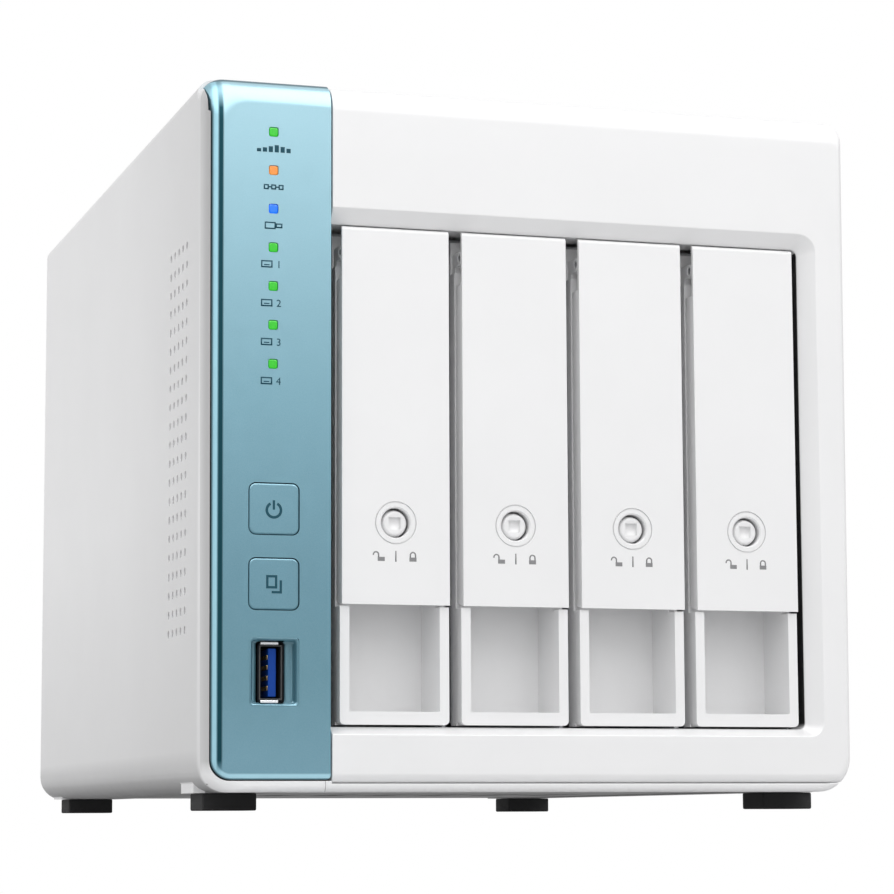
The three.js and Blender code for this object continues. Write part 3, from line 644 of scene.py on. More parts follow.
def make_shell():
    start = BEZEL.y1 + SEAM
    inner_radii = tuple(max(r - WALL, 1) for r in CASE_RADII)
    outer = leaned(rounded(-SIDE, SIDE, BASE, TOP, CASE_RADII, 10))
    inner = rounded(-SIDE + WALL, SIDE - WALL, BASE + WALL, TOP - WALL, inner_radii)
    flange = SEAM - PLATE.x0
    walls = cut(
        prism("y", outer, start, REAR),
        prism("y", inner, start - 1, REAR + 1),
        box(-flange, flange, start - 1, REAR + 1, BASE - 1, BASE + WALL + 1),
    )
    # behind the lower front frame the top's edge slopes down to meet it
    cut(walls, prism("x", [
        (start - 1, TOP - 0.72), (start + 2.7, TOP + 0.02), (start + 2.7, TOP + 1), (start - 1, TOP + 1),
    ], RIM_SPLIT, SIDE + 1))
    front = keep(
        front_form(TOP, tail=0.5), box(-SIDE - 1, RIM_SPLIT - 0.06, FRONT - 1, REAR, BASE - 1, TOP + 1))
    hollow = prism("y", rounded(
        -SIDE + WALL, SIDE, BASE + 1.6, TOP - WALL, (5, 0, 0, 2)), FRONT + 3.5, REAR)
    cut(front, prism("y", panel_region(0.3), FRONT - 1, REAR), hollow)
    cut(front, box(-SIDE + WALL, 0, FRONT + 3, REAR, BASE + 1.8, TOP + 1))
    shell = join(walls, front)
    pads = []
    for foot in [Span(f"foot_{i}") for i in TRAYS]:
        x0, x1 = (foot.x, foot.x + RIGHT_PAD) if foot.x > 0 else (foot.x - LEFT_PAD, foot.x)
        pads.append(box(x0, x1, foot.y0 - 0.6, foot.y1 + 0.6, BASE, BASE + 3))
    join(shell, *pads)
    cut(shell, vent_holes())
    as_piece(shell, "case_shell", COVER_WHITE_SHADED, "outer_shell", bevel=0.22)


def make_underside():
    start, reach = BEZEL.y1 + SEAM, 57.7
    sheet = box(-reach, reach, start, REAR_PANEL.y0 - 0.3, BASE + 0.2, BASE + 1.8)
    slots = [
        prism("z", rounded(-40 + i * 15, -30 + i * 15, -20, 20, 4.9, 6), BASE - 1, BASE + 3)
        for i in range(6)
    ]
    cut(sheet, *slots)
    rim = keep(front_form(TOP), box(RIM_SPLIT + 0.06, SIDE + 1, FRONT - 1, start, BASE - 1, PANEL.z0 - 0.14))
    corner = keep(front_form(TOP), box(
        RIM_SPLIT + 0.06, BEZEL_LEFT - 0.14, FRONT - 1, start, BASE - 1, PANEL_BASE - 0.3))
    link = box(PANEL_SPLIT - 1, reach, start - 1, start + 1, BASE + 0.2, BASE + 1.8)
    bottom = join(sheet, rim, corner, link)
    as_piece(bottom, "case_underside", UNDER_WHITE_SHADED, "base_plate", bevel=0.2)


def make_bezel():
    form = keep(
        front_form(BEZEL.z1, base=PANEL.z0, chin=2.2, tail=0.25),
        box(BEZEL_LEFT, SIDE + 1, FRONT - 1, REAR, PANEL.z0, TOP + 1))
    hollow = prism("y", rounded(
        BEZEL_LEFT - 30, SIDE - WALL, PANEL.z0 + WALL, BEZEL.z1 - WALL, (0, 4, 3, 0)), FRONT + 3.4, REAR)
    cut(form, hollow)
    # the flare round the trays: wide at the face, square where the trays stand
    depth = 3.0
    outer = rounded(BEZEL_LEFT - 8, OPEN_X1 + 3.8, OPEN_Z0 - 1.75, OPEN_Z1 + 3.5, (0, 3.6, 4.4, 0), 8)
    inner = rounded(BEZEL_LEFT - 8, OPEN_X1, OPEN_Z0, OPEN_Z1, (0, 1.6, 1.6, 0), 8)
    over = 0.4 / depth
    grown = [(ox + (ox - ix) * over, oz + (oz - iz) * over) for (ox, oz), (ix, iz) in zip(outer, inner)]
    flare = loft([
        [(x, FRONT - 0.4, z) for x, z in grown],
        [(x, FRONT + depth, z) for x, z in inner],
        [(x, FRONT + 30, z) for x, z in inner],
    ])
    tube = cut(
        box(BEZEL_LEFT + 1, OPEN_X1 + 1.4, FRONT + 2.8, FRONT + 10, OPEN_Z0 - 1.4, OPEN_Z1 + 1.8),
        box(BEZEL_LEFT - 9, BEZEL_LEFT + 8, FRONT, FRONT + 20, OPEN_Z0 + 3, OPEN_Z1 - 3))
    join(form, tube)
    cut(form, flare)
    as_piece(form, "front_frame", FRAME_WHITE_SHADED, bevel=0.3, segments=3)
    rear = box(BEZEL.x0, PANEL_SPLIT + 0.4, FRONT + 2.6, FRONT + 4.6, PANEL.z0 + 2, TOP - 5)
    lamps = Span("light_pipe")
    holes = [box(lamps.x - 2.2, lamps.x + 2.2, FRONT, FRONT + 9, lamps.z0 - 1, lamps.z1 + 1)]
    for node, gap in (("power_button", 0.8), ("copy_button", 0.8), ("front_usb_bezel", 0.6)):
        s = Span(node)
        outline = rounded(s.x0 - gap, s.x1 + gap, s.z0 - gap, s.z1 + gap, 1.5, 4)
        holes.append(prism("y", outline, FRONT, FRONT + 9))
    cut(rear, *holes)
    as_piece(rear, "panel_backing", WHITE, "front_bezel", bevel=0.2)


def lamp_places():
    pipe = Span("light_pipe")
    first, pitch = pipe.z1 - 2, (pipe.z1 - pipe.z0 - 4) / 6
    return [(pipe.x - 0.3, first - i * pitch) for i in range(7)]


def button_outline(span, grow=0.0):
    return rounded(span.x0 - grow - 0.12, span.x1 + grow + 0.25, span.z0 - grow, span.z1 + grow, 1.6 + grow, 6)


def make_panel():
    form = keep(front_form(TOP, face=PANEL_FACE), prism("y", panel_region(), FRONT - 1, REAR))
    thickness = 2.3
    hollow = box(PANEL_LEFT + 1.7, SIDE, FRONT + thickness, REAR, BASE, TOP - thickness)
    half = LAMP_SIZE / 2
    openings = [rounded(x - half, x + half, z - half, z + half, 0.5, 3) for x, z in lamp_places()]
    openings += [button_outline(Span(node), 0.16) for node in ("power_button", "copy_button")]
    openings.append(usb_pocket(0))
    cut(form, hollow)
    cut(form, gather([prism("y", outline, FRONT - 1, FRONT + 9) for outline in openings]))
    as_piece(form, "control_panel", TEAL, "accent_panel", bevel=0.22, segments=3)


# ---- controls ----
def flat_mark(shapes, y, name, look, depth, body="case"):
    """Thin printed shapes on a face that looks towards -Y."""
    mark = gather([prism("y", outline, y, y + depth) for outline in shapes])
    as_piece(mark, name, look, body=body, bevel=0)


def ring_arc(x, z, radius, width, start, end, steps=20):
    outer = arc(x, z, radius + width / 2, start, end, steps)
    inner = arc(x, z, radius - width / 2, end, start, steps)
    return outer + inner


def frame_of(x0, x1, z0, z1, width):
    """A rectangle's outline, as four bars."""
    return [
        bar(x0, x1, z0, z0 + width), bar(x0, x1, z1 - width, z1),
        bar(x0, x0 + width, z0 + width, z1 - width), bar(x1 - width, x1, z0 + width, z1 - width),
    ]


def make_lamps():
    pipe = Span("light_pipe")
    spine = box(pipe.x - 1.3, pipe.x + 1.3, FRONT + 3.9, FRONT + 5.1, pipe.z0, pipe.z1)
    as_piece(spine, "light_guide", CLEAR, "light_pipe", bevel=0.2)
    half = LAMP_SIZE / 2 - 0.08
    looks = [GREEN_LAMP, ORANGE_LAMP, BLUE_LAMP] + [GREEN_LAMP] * 4
    for i, ((x, z), look) in enumerate(zip(lamp_places(), looks), 1):
        rings = []
        for inset, depth in ((0.3, 0.12), (0.12, 0.16), (0.02, 0.3), (0.0, 0.5), (0.0, 3.4)):
            r = half - inset
            rings.append([(a, FRONT + depth, b) for a, b in rounded(x - r, x + r, z - r, z + r, 0.45, 3)])
        as_piece(loft(rings), f"lamp_{i}", look, bevel=0)


def make_lamp_marks():
    """Small signs under the lamps: steps, linked squares, a plug and numbered disks."""
    drop, tall, stroke = 3.95, 1.7, 0.3
    for i, (x, z) in enumerate(lamp_places(), 1):
        middle = z - drop
        z0, z1 = middle - tall / 2, middle + tall / 2
        if i == 1:
            shapes = [bar(x - 4.0 + k * 1.4, x - 3.0 + k * 1.4, z0, z0 + tall * h)
                      for k, h in enumerate((0.45, 0.6, 0.8, 1.0, 0.8, 0.6))]
        elif i == 2:
            pitch = 1.75
            shapes = [side for k in (-1, 0, 1) for side in frame_of(
                x + k * pitch - 0.6, x + k * pitch + 0.6, middle - 0.6, middle + 0.6, stroke)]
            shapes += [bar(x + k * pitch - 1.15, x + k * pitch - 0.6, middle - 0.15, middle + 0.15)
                       for k in (0, 1)]
        elif i == 3:
            shapes = frame_of(x - 2.1, x + 0.5, z0, z1, stroke)
            shapes += frame_of(x + 0.5, x + 2.1, z0 + 0.3, z1 - 0.3, stroke)
        else:
            shapes = frame_of(x - 2.9, x - 0.2, z0, z1, stroke)
            shapes += [bar(x - 2.2, x - 0.9, z0 + 0.55, z0 + 0.8)]
            make_digit(str(i - 3), x + 0.7, z0, tall)
        flat_mark(shapes, FRONT + 0.005, f"lamp_mark_{i}", INK_TEAL, 0.06)


def make_digit(text, x, z, tall):
    """A plain numeral, cut from the default font and laid on the panel."""
    curve = bpy.data.curves.new("numeral", "FONT")
    curve.body = text
    curve.size = tall * 1.42
    curve.extrude = 0.015
    numeral = add_object("numeral", curve)
    mesh = bpy.data.meshes.new_from_object(numeral.evaluated_get(bpy.context.evaluated_depsgraph_get()))
    bpy.data.objects.remove(numeral)
    mesh.transform(Matrix.Translation((x, FRONT + 0.022, z)) @ Matrix.Rotation(pi / 2, 4, "X"))
    as_piece(add_object("numeral", mesh), f"lamp_numeral_{text}", INK_TEAL, bevel=0)


def make_button(node, name, body):
    s = Span(node)
    cap = loft([
        [(a, FRONT + depth, b) for a, b in button_outline(s, -inset)]
        for inset, depth in ((0.45, 0.03), (0.22, 0.08), (0.07, 0.2), (0.0, 0.4), (0.0, 4.6))])
    stem = box(s.x - 1.5, s.x + 1.5, FRONT + 4.6, s.y1, s.z - 1.5, s.z + 1.5)
    as_piece(join(cap, stem), name, TEAL, node, body, bevel=0)


def make_button_marks():
    s = Span("power_button")
    shapes = [ring_arc(s.x, s.z - 0.3, 1.66, 0.62, 118, 422, 28),
              bar(s.x - 0.28, s.x + 0.28, s.z - 0.2, s.z + 1.95)]
    flat_mark(shapes, FRONT + 0.005, "power_sign", INK_TEAL, 0.02, "power_key")
    c = Span("copy_button")
    w = 0.55
    shapes = frame_of(c.x - 1.75, c.x + 0.85, c.z - 1.05, c.z + 2.0, w)
    shapes += [bar(c.x - 0.45, c.x + 1.95, c.z - 2.15, c.z - 2.15 + w),
               bar(c.x + 1.4, c.x + 1.95, c.z - 1.6, c.z + 0.85)]
    flat_mark(shapes, FRONT + 0.005, "copy_sign", INK_TEAL, 0.02, "copy_key")


def usb_pocket(inset):
    """The front socket's pocket, drawn in from its mouth."""
    s = Span("front_usb_bezel")
    return rounded(s.x0 - 0.1 + inset, s.x1 + 0.65 - inset, s.z0 - 0.2 + inset, s.z1 + 0.25 - inset, 0.6, 4)


def make_front_usb():
    can, tongue = Span("front_usb_shell"), Span("front_usb_tongue")
    depth = 3.2
    body = prism("y", usb_pocket(0.02), FRONT + PANEL_FACE + 0.02, FRONT + depth + 1.2)
    recess = loft([
        [(x, FRONT - 0.2, z) for x, z in usb_pocket(0.05)],
        [(x, FRONT + 0.9, z) for x, z in usb_pocket(0.75)],
        [(x, FRONT + depth, z) for x, z in usb_pocket(0.8)],
    ])
    mouth = rounded(can.x0 - 0.25, can.x1 + 0.25, can.z0 - 0.1, can.z1 + 0.1, 0.7, 4)
    cut(body, recess, prism("y", mouth, FRONT, FRONT + 9))
    as_piece(body, "usb_recess", TEAL, "front_usb_bezel", bevel=0)
    tongue.x0, tongue.x1 = tongue.x0 + 1.5, tongue.x1 + 1.6
    make_usb_socket("front_usb", can, tongue, -1, "front_usb_shell", "front_usb_tongue")


def make_usb_socket(name, can, tongue, mouth, can_node, tongue_node=()):
    """A USB type A socket: folded can, dark insulator, blue tongue and its contacts."""
    wall, lining = 0.4, 0.75
    y_mouth, y_back = (can.y0, can.y1) if mouth < 0 else (can.y1, can.y0)

    def along(depth):
        return y_mouth - mouth * depth

    def ring(a, b, inset, inset_z, r):
        outline = rounded(can.x0 + inset, can.x1 - inset, can.z0 + inset_z, can.z1 - inset_z, r, 4)
        return prism("y", outline, *sorted((a, b)))

    length = can.y1 - can.y0
    shell = cut(ring(y_mouth, y_back, 0, 0, 0.8), ring(along(-1), along(length - 0.5), wall, wall, 0.4))
    notches = [
        box(side - 0.6, side + 0.6, *sorted((along(2.2), along(5.2))), z + k, z + k + 0.45)
        for side in (can.x0, can.x1) for z in (can.z - 3.4, can.z + 3.4) for k in (-1.2, 0.75)
    ]
    cut(shell, gather(notches))
    as_piece(shell, f"{name}_can", SHADED_STEEL, can_node, bevel=0.08)
    lips = [box(can.x0 + 0.7, can.x1 - 1.3, *sorted((along(-0.02), along(0.5))), z - 0.32, z + 0.32)
            for z in (can.z0 + 0.38, can.z1 - 0.38)]
    as_piece(gather(lips), f"{name}_lips", STEEL, bevel=0.1)
    deep = length - 0.7
    lining_body = cut(
        ring(along(0.12), along(deep), 0.04, wall + 0.3, 0.3),
        ring(along(-1), along(deep - 0.8), lining, 1.1, 0.3))
    as_piece(lining_body, f"{name}_insulator", BLACK, bevel=0.06)
    t = tongue
    tongue_body = box(t.x0, t.x1, t.y0, t.y1, t.z0, t.z1)
    as_piece(tongue_body, f"{name}_tongue", BLUE, tongue_node, bevel=0.2)
    ends = sorted((along(1.6), along(7.0)))
    strips = [box(t.x0 - 0.1, t.x0 + 0.1, *ends, t.z + k - 0.5, t.z + k + 0.5) for k in (-3.5, -1.2, 1.2, 3.5)]
    as_piece(gather(strips), f"{name}_contacts", GOLD, bevel=0.04)


# ---- drive trays ----
def make_carrier(i):
    s, door = Span(f"tray_carrier_{i}"), Span(f"tray_handle_{i}")
    x, half, y0, back = s.x, (s.x1 - s.x0) / 2 + 0.05, s.y0 + FACE_SET_BACK, door.y1
    rim, sill, recess_back = 2.25, 3.0, s.y0 + 16.0
    cage, rails = 12.2, back + 3.5      # the rails' reach to either side, and where they start
    top = door.z0 - 0.2 - DOOR_GAP
    face = prism("y", rounded(x - half, x + half, TRAY_BASE, top, (1.1, 1.1, 0, 0), 4), y0, back + 0.35)
    hood = box(x - cage, x + cage, back, recess_back + 2, TRAY_BASE + 0.8, 58)
    # behind the door's hinge the frame is thinner and stands further back
    frame_low = box(x - half, x + half, back + 0.3, back + 4.4, TRAY_BASE, 126)
    frame_high = box(x - half, x + half, back + 3.4, back + 5.4, 120, door.z1 - 0.2)
    carrier = join(face, frame_low, frame_high, hood)
    reach = half - rim
    mouth = rounded(x - reach, x + reach, TRAY_BASE + sill, 55, (0.35, 0.35, 0, 0), 3)
    pocket = prism("y", mouth, y0 - 1, recess_back)
    cut(carrier, pocket, box(x - 9, x + 9, y0 - 1, back + 3.6, 54, 122))
    side = box(x - cage, x - 10.8, rails, s.y1, 22, 129)
    floor_rail = box(x - cage, x + cage, rails, s.y1, 20.4, 22.4)
    roof_rail = box(x - cage, x + 4, rails, s.y1, 128.6, s.z1)
    ears = [make_ear(x, k, back) for k in (-1, 1)]
    join(carrier, side, floor_rail, roof_rail, *ears)
    slots = [
        prism("x", rounded(-78 + k * 17, -70 + k * 17, 48, 104, 3.9, 5), x - 13, x - 10)
        for k in range(7)
    ]
    screws = [rod("x", -60 + k * 41, 28 + 95 * (k % 2), 1.7, x - 13, x - 10, 16) for k in range(3)]
    cut(carrier, gather(slots + screws))
    as_piece(carrier, f"tray_frame_{i}", TRAY_WHITE, f"tray_carrier_{i}", f"tray_{i}", bevel=0.35, segments=3)


def make_ear(x, side, back):
    """One of the two lugs that hold the door's pin."""
    pin = Span("tray_pin_1")
    inner, outer = (x - 12.6, x - 11) if side < 0 else (x + 11, x + 12.6)
    arm = prism("x", [
        (back + 1, pin.z - 6), (back + 4, pin.z - 6), (back + 4, pin.z + 1.6),
        *arc(pin.y, pin.z, 1.6, 90, 270, 10), (back + 1, pin.z - 1.6),
    ], inner, outer)
    return cut(arm, rod("x", pin.y, pin.z, 1.0, inner - 1, outer + 1, 16))


def make_door(i):
    s, lock, pin = Span(f"tray_handle_{i}"), Span(f"tray_lock_{i}"), Span(f"tray_pin_{i}")
    x, left, right, top = s.x, s.x0 + 0.2, s.x1, s.z1 + 0.75
    body = prism("x", [
        (s.y0, s.z0 - 0.2), (s.y1, s.z0 + 0.8), (s.y1, top - 2.6), (s.y0 + 1.5, top),
        *arc(s.y0 + 0.9, top - 0.9, 0.9, 90, 180, 6),
    ], left, right)
    lug = 10.7
    pockets = [
        box(left - 1, x - lug, s.y0 + 1.1, s.y1 + 1, pin.z - 6.4, top + 1),
        box(x + lug, right + 1, s.y0 + 1.1, s.y1 + 1, pin.z - 6.4, top + 1),
    ]
    bore = rod("x", pin.y, pin.z, 1.05, left - 1, right + 1, 16)
    hollow = box(left + 2, right - 2, s.y0 + 2, s.y1 + 1, 74, pin.z - 8)
    cut(body, *pockets, bore, hollow)
    sides = 64
    through = turned("y", x, LOCK_Z, [
        (3.75, s.y0 - 1), (3.75, s.y0 + 0.01), (3.45, s.y0 + 0.32), (3.6, s.y1 + 1)], sides)
    groove = cut(
        rod("y", x, LOCK_Z, 5.0, s.y0 - 1, s.y0 + 0.5, sides),
        rod("y", x, LOCK_Z, 4.68, s.y0 - 2, s.y0 + 2, sides))
    cut(body, through, groove)
    as_piece(body, f"tray_door_{i}", TRAY_WHITE, f"tray_handle_{i}", f"handle_{i}",
             bevel=0.3, segments=3, sharp=40)
    make_lock(i, x, s.y0, lock)
    make_lock_marks(i, x, s.y0)


def square_ring(a, b, half, y, sides):
    """Points on a square, at the angles of a circle with the same number of sides."""
    turns = [2 * pi * k / sides for k in range(sides)]
    reaches = [half / max(abs(cos(t)), abs(sin(t))) for t in turns]
    return [(a + reach * cos(t), y, b + reach * sin(t)) for t, reach in zip(turns, reaches)]


def make_lock(i, x, face, span):
    """The lock's barrel, with a square socket in its end, and the cam behind it."""
    sides = 48
    profile = [
        (3.3, span.y1 - 0.6), (3.3, face + 3.2), (3.16, face + 2.4), (2.95, face + 1.5),
        (2.8, face + 1.1), (2.55, face + 0.9), (2.3, face + 0.86)]
    rings = [[(a, y, b) for a, b in arc(x, LOCK_Z, r, 0, 360, sides)[:-1]] for r, y in profile]
    for half, y in ((1.5, face + 0.86), (1.38, face + 0.98), (1.3, face + 2.0)):
        rings.append(square_ring(x, LOCK_Z, half, y, sides))
    barrel = loft(rings)
    cam = box(x - 1.6, x + 1.6, span.y1 - 1.6, span.y1, LOCK_Z, span.z1)
    as_piece(gather([barrel, cam]), f"lock_barrel_{i}", TRAY_WHITE, f"tray_lock_{i}", f"lock_{i}", bevel=0)


def make_lock_marks(i, x, face):
    """An open padlock, a bar and a closed padlock under the lock."""
    z = LOCK_Z - 7.75
    half, tall, stroke = 0.85, 0.95, 0.32
    shapes = []
    for centre, shackle in ((x - 3.5, x - 4.75), (x + 4.1, x + 4.1)):
        shapes.append(bar(centre - half, centre + half, z - 1.15, z - 1.15 + tall))
        shapes.append(ring_arc(shackle, z + 0.35, 0.62, stroke, 0, 180, 10))
        left_leg = 0.15 if shackle != centre else 0.55
        shapes.append(bar(shackle - 0.78, shackle - 0.46, z + 0.35 - left_leg, z + 0.35))
        shapes.append(bar(shackle + 0.46, shackle + 0.78, z - 0.2, z + 0.35))
    shapes.append(bar(x - 0.16, x + 0.16, z - 1.25, z + 1.25))
    flat_mark(shapes, face - 0.02, f"lock_signs_{i}", INK_GREY, 0.04, f"handle_{i}")


def make_pin(i):
    s = Span(f"tray_pin_{i}")
    pin = turned("x", s.y, s.z, [(0.55, s.x0), (0.74, s.x0 + 0.25), (0.74, s.x1 - 0.25), (0.55, s.x1)], 20)
    as_piece(pin, f"door_pin_{i}", STEEL, f"tray_pin_{i}", f"tray_{i}", bevel=0)


def make_foot(i):
    s = Span(f"foot_{i}")
    x0, x1, y0, y1 = s.x0 - 0.9, s.x1 - 0.3, s.y0 - 0.3, s.y1 + 0.5
    rings = []
    for inset, z in (
            (0.35, s.z0), (0.1, s.z0 + 0.1), (0.0, s.z0 + 0.35), (0.0, BASE - 0.35), (0.15, BASE - 0.06)):
        outline = rounded(x0 + inset, x1 - inset, y0 + inset, y1 - inset, 0.5 - inset / 2, 4)
        rings.append([(x, y, z) for x, y in outline])
    foot = loft(rings)
    tread = [box(s.x0 + 2, s.x1 - 2, s.y0 + 2.2 + k * 1.9, s.y0 + 3.0 + k * 1.9, -1, 0.5) for k in range(5)]
    cut(foot, gather(tread))
    as_piece(foot, f"foot_pad_{i}", RUBBER, f"foot_{i}", bevel=0.08)


# ---- rear ----
def make_guard():
    s = Span("fan_guard")
    y = (s.y0 + s.y1) / 2
    wire_radius = min(0.7, REAR - 0.2 - y)
    rings = []
    for k in range(6):
        radius = 10 + k * 9.4
        points = [(a, y, b) for a, b in arc(s.x, s.z, radius, 0, 360, 72)[:-1]]
        rings.append(wire(points, wire_radius, closed=True))
    reach, loop_radius = 105 / 2, 2.6
    inner, outer = 10 / sqrt(2), reach - loop_radius
    for a, b in ((-1, -1), (1, -1), (1, 1), (-1, 1)):
        spoke = [(s.x + a * r, y, s.z + b * r) for r in (inner, outer)]
        rings.append(wire(spoke, wire_radius))
        loop = [(c, y, d) for c, d in arc(s.x + a * reach, s.z + b * reach, loop_radius, 0, 360, 28)[:-1]]
        rings.append(wire(loop, wire_radius, closed=True))
    as_piece(gather(rings), "fan_grille", STEEL, "fan_guard", bevel=0)


def make_rotor():
    s = Span("fan_rotor")
    hub = turned("y", s.x, s.z, [
        (17.5, s.y0), (18.6, s.y0 + 0.5), (19, s.y0 + 2), (19, s.y1 - 3), (18.6, s.y1 - 1.4),
        (17.2, s.y1 - 0.4), (6, s.y1), (0.5, s.y1)], 56)
    blades = [make_blade(s, 360 / 7 * k) for k in range(7)]
    as_piece(join(hub, *blades), "fan_wheel", BLACK, "fan_rotor", "fan_wheel", bevel=0.2, sharp=45)


def make_blade(s, turn):
    """A cambered blade, swept forward and less steep towards its tip."""
    rings = []
    for k in range(9):
        t = k / 8
        radius = 17.5 + t * 37.3
        chord, pitch, sweep = 19 + 7 * t, radians(52 - 20 * t), radians(turn + 16 * t * t)
        ring = []
        outline = [(u, 1.1 * sin(pi * (u + 0.5)) + 0.62 * side * sqrt(max(0.02, 1 - (2 * u) ** 2)))
                   for side in (1, -1) for u in ([-0.5 + j / 8 for j in range(9)][::side])]
        for u, v in outline:
            across = u * chord * cos(pitch) - v * sin(pitch)
            deep = u * chord * sin(pitch) + v * cos(pitch)
            angle = sweep + across / radius
            ring.append((s.x + radius * cos(angle), s.y + deep * 0.9, s.z + radius * sin(angle)))
        rings.append(ring)
    return loft(rings)


def make_screw(node, name):
    s = Span(node)
    seat, radius = s.y1 - 0.9, (s.x1 - s.x0) / 2
    head = turned("y", s.x, s.z, [
        (1.35, s.y0), (1.35, seat), (radius, seat), (radius, seat + 0.35), (radius * 0.86, seat + 0.68),
        (radius * 0.5, s.y1 - 0.04), (radius * 0.2, s.y1)], 32)
    cross = [box(s.x - a, s.x + a, seat + 0.25, s.y1 + 1, s.z - b, s.z + b)
             for a, b in ((1.5, 0.3), (0.3, 1.5))]
    cut(head, *cross)
    as_piece(head, name, STEEL, node, bevel=0.05)


def make_rear_usb(i):
    s = Span(f"rear_usb_{i}")
    tongue = Span(f"rear_usb_{i}")
    tongue.x0, tongue.x1 = s.x - 0.9, s.x + 0.9
    tongue.y0, tongue.y1 = s.y0 + 0.8, s.y1 - 1.2
    tongue.z0, tongue.z1 = s.z - 5.5, s.z + 5.5
    make_usb_socket(f"rear_usb_socket_{i}", s, tongue, 1, f"rear_usb_{i}")


def make_lan_contacts(i):
    s = Span(f"lan_port_{i}")
    wires = []
    for k in range(8):
        z = s.z + (k - 3.5) * 1.02
        bends = ((12.0, 14.6), (11.4, 9), (9.2, 3.6), (11.6, 2.2))      # across the port, and in from its mouth
        wires.append(wire([(s.x0 + a, s.y1 - b, z) for a, b in bends], 0.2, 6))
    as_piece(gather(wires), f"lan_contacts_{i}", GOLD, bevel=0)


# ---- carried-over CAD nodes ----
CARRIED = (
    # material, rounding, nodes
    (SHEET, 0.25, ["rear_panel"]),
    (SHEET, 0.2, ["drive_cage"]),
    (ALUMINIUM, 0.2, ["heat_sink"]),
    (BOARD, 0.15, ["mainboard", "backplane", "front_board"]),
    (STEEL[1], 0.2, ["lan_port_1", "lan_port_2"]),
    (BLACK[1], 0.2, ["power_switch", "copy_switch", "power_inlet"]),
    (BLACK[1], 0.15, ["reset_switch", "reset_plunger", *[f"drive_connector_{i}" for i in TRAYS]]),
    (BLACK[1], 0.5, ["fan_frame"]),
)


def finish_carried():
    """Rounds the edges of CAD nodes that stay, and gives them their materials."""
    for node, material, width in [
            (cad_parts[name], material, width) for material, width, names in CARRIED for name in names]:
        node.data.materials.clear()
        node.data.materials.append(material)
        merge = node.modifiers.new("merge", "WELD")
        merge.merge_threshold = 0.000002
        flat = node.modifiers.new("flat", "DECIMATE")
        flat.decimate_type = "DISSOLVE"
        flat.angle_limit = radians(1)
        add_rounding(node, width * MM, 2, 40)
        shade_evenly(node)


# ---- studio ----
CAMERA_PLACE = (-0.22122, -0.75585, -0.00195)
CAMERA_YAW, CAMERA_PITCH, CAMERA_ROLL = 0.29886, 0.12571, -0.00406  # radians
CAMERA_LENS = 118.34
FLOOR_RADIUS = 6000
SKY_LEVEL, CEILING_LEVEL = 0.6, 1.2
CEILING_EDGE = (0.25, 0.6)  # the sine of the height at which the ceiling begins and is full
SKY_SLOPE = (0.0, -0.42, 0.0)  # how much brighter the sky is towards +X, +Y and +Z
SOFTBOXES = (
    # name, place, size, watts, whether matt surfaces see it
    ("side_fill", (-0.42, 0.16, 0.17), (0.2, 0.2), 0.3, True),
    ("brow_light", (0.1, -1.0, 1.46), (3.0, 2.35), 102, False),
)


def make_camera():
    yaw_sin, yaw_cos = sin(CAMERA_YAW), cos(CAMERA_YAW)
    ahead = Vector((yaw_sin * cos(CAMERA_PITCH), yaw_cos * cos(CAMERA_PITCH), sin(CAMERA_PITCH)))
    level = Vector((yaw_cos, -yaw_sin, 0))
    upright = level.cross(ahead)
    across = level * cos(CAMERA_ROLL) + upright * sin(CAMERA_ROLL)
    up = upright * cos(CAMERA_ROLL) - level * sin(CAMERA_ROLL)
    data = bpy.data.cameras.new("camera")
    data.lens = CAMERA_LENS
    data.sensor_width = 36
    data.clip_start = 0.01
    camera = add_object("camera", data)
    turn = Matrix((across, up, -ahead)).transposed().to_4x4()
    camera.matrix_world = Matrix.Translation(CAMERA_PLACE) @ turn
    bpy.context.scene.camera = camera


def make_floor():
    """A pale disc with a painted glow, stronger under the case, which lights the case's underside. It shows
    only from above, so a low camera sees past it.
    """
    bm = bmesh.new()
    bm.faces.new([bm.verts.new((x * MM, y * MM, 0)) for x, y in arc(0, 0, FLOOR_RADIUS, 0, 360, 96)[:-1]])
    mesh = bpy.data.meshes.new("floor")
    bm.to_mesh(mesh)
    bm.free()
    n = Nodes("floor_paper")
    x, y, _ = n.axes()
    beneath = n.product(n.near(x, 0, 62, 14), n.near(y, 0, 92, 14))
    n.link(n.mix(n.noise(9, 4), grey(0.53), grey(0.56)), n.shader.inputs["Base Color"])
    # painted glow, stronger under the case, where it lights the underside
    n.link(n.between(beneath, 0.08, 0.24), n.shader.inputs["Emission Strength"])
    n.constant(Roughness=0.85, Emission_Color=(1, 1, 1, 1))
    clear = n.add("ShaderNodeBsdfTransparent")
    behind = n.add("ShaderNodeNewGeometry").outputs["Backfacing"]
    n.blend(behind, n.shader.outputs[0], clear.outputs[0], "Material Output")
    mesh.materials.append(n.material)
    add_object("floor", mesh)


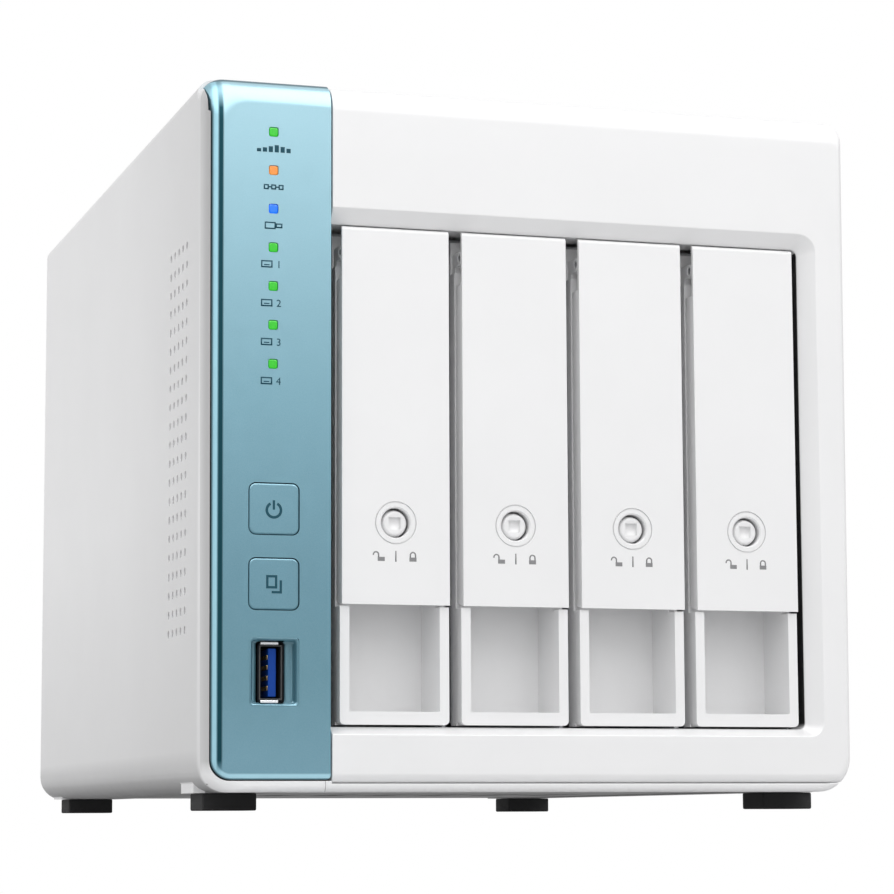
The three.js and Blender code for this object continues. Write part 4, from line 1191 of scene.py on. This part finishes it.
def make_world():
    """White all round for the eye; for light, an even sky with gentle slopes and a brighter ceiling."""
    world = bpy.data.worlds.new("studio")
    bpy.context.scene.world = world
    n = Tree(world)
    direction = n.add("ShaderNodeTexCoord").outputs["Generated"]
    slope = n.add("ShaderNodeVectorMath", operation="DOT_PRODUCT")
    slope.inputs[1].default_value = SKY_SLOPE
    n.link(direction, slope.inputs[0])
    axes = n.add("ShaderNodeSeparateXYZ")
    n.link(direction, axes.inputs[0])
    ceiling = n.add("ShaderNodeMapRange", interpolation_type="SMOOTHSTEP")
    limits = (*CEILING_EDGE, SKY_LEVEL, CEILING_LEVEL)
    for socket, value in zip(("From Min", "From Max", "To Min", "To Max"), limits):
        ceiling.inputs[socket].default_value = value
    n.link(axes.outputs["Z"], ceiling.inputs["Value"])
    glow, white = n.tree.nodes["Background"], n.add("ShaderNodeBackground")
    for background in (glow, white):
        background.inputs["Color"].default_value = (1, 1, 1, 1)
    n.link(n.math("ADD", slope.outputs["Value"], ceiling.outputs[0]), glow.inputs["Strength"])
    seen = n.add("ShaderNodeLightPath").outputs["Is Camera Ray"]
    n.blend(seen, glow.outputs[0], white.outputs[0], "World Output")


def make_lights():
    middle = Vector((0, 0, TOP * MM / 2))
    for name, place, (width, height), watts, matt in SOFTBOXES:
        data = bpy.data.lights.new(name, "AREA")
        data.shape = "RECTANGLE"
        data.size, data.size_y = width, height
        data.energy = watts
        light = add_object(name, data)
        light.location = place
        light.rotation_mode = "QUATERNION"
        light.rotation_quaternion = (middle - Vector(place)).to_track_quat("-Z", "Y")
        light.visible_diffuse = matt


# ---- build ----
make_camera()
make_floor()
make_world()
make_lights()
make_shell()
make_underside()
make_bezel()
make_panel()
make_lamps()
make_lamp_marks()
make_button("power_button", "power_cap", "power_key")
make_button("copy_button", "copy_cap", "copy_key")
make_button_marks()
make_front_usb()
for number in TRAYS:
    make_carrier(number)
    make_door(number)
    make_pin(number)
    make_foot(number)
    make_screw(f"fan_screw_{number}", f"fan_screw_head_{number}")
for number in (1, 2, 3):
    make_screw(f"cover_screw_{number}", f"cover_screw_head_{number}")
for number in (1, 2):
    make_rear_usb(number)
    make_lan_contacts(number)
make_guard()
make_rotor()
finish_carried()
bpy.context.scene.view_settings.view_transform = "Standard"
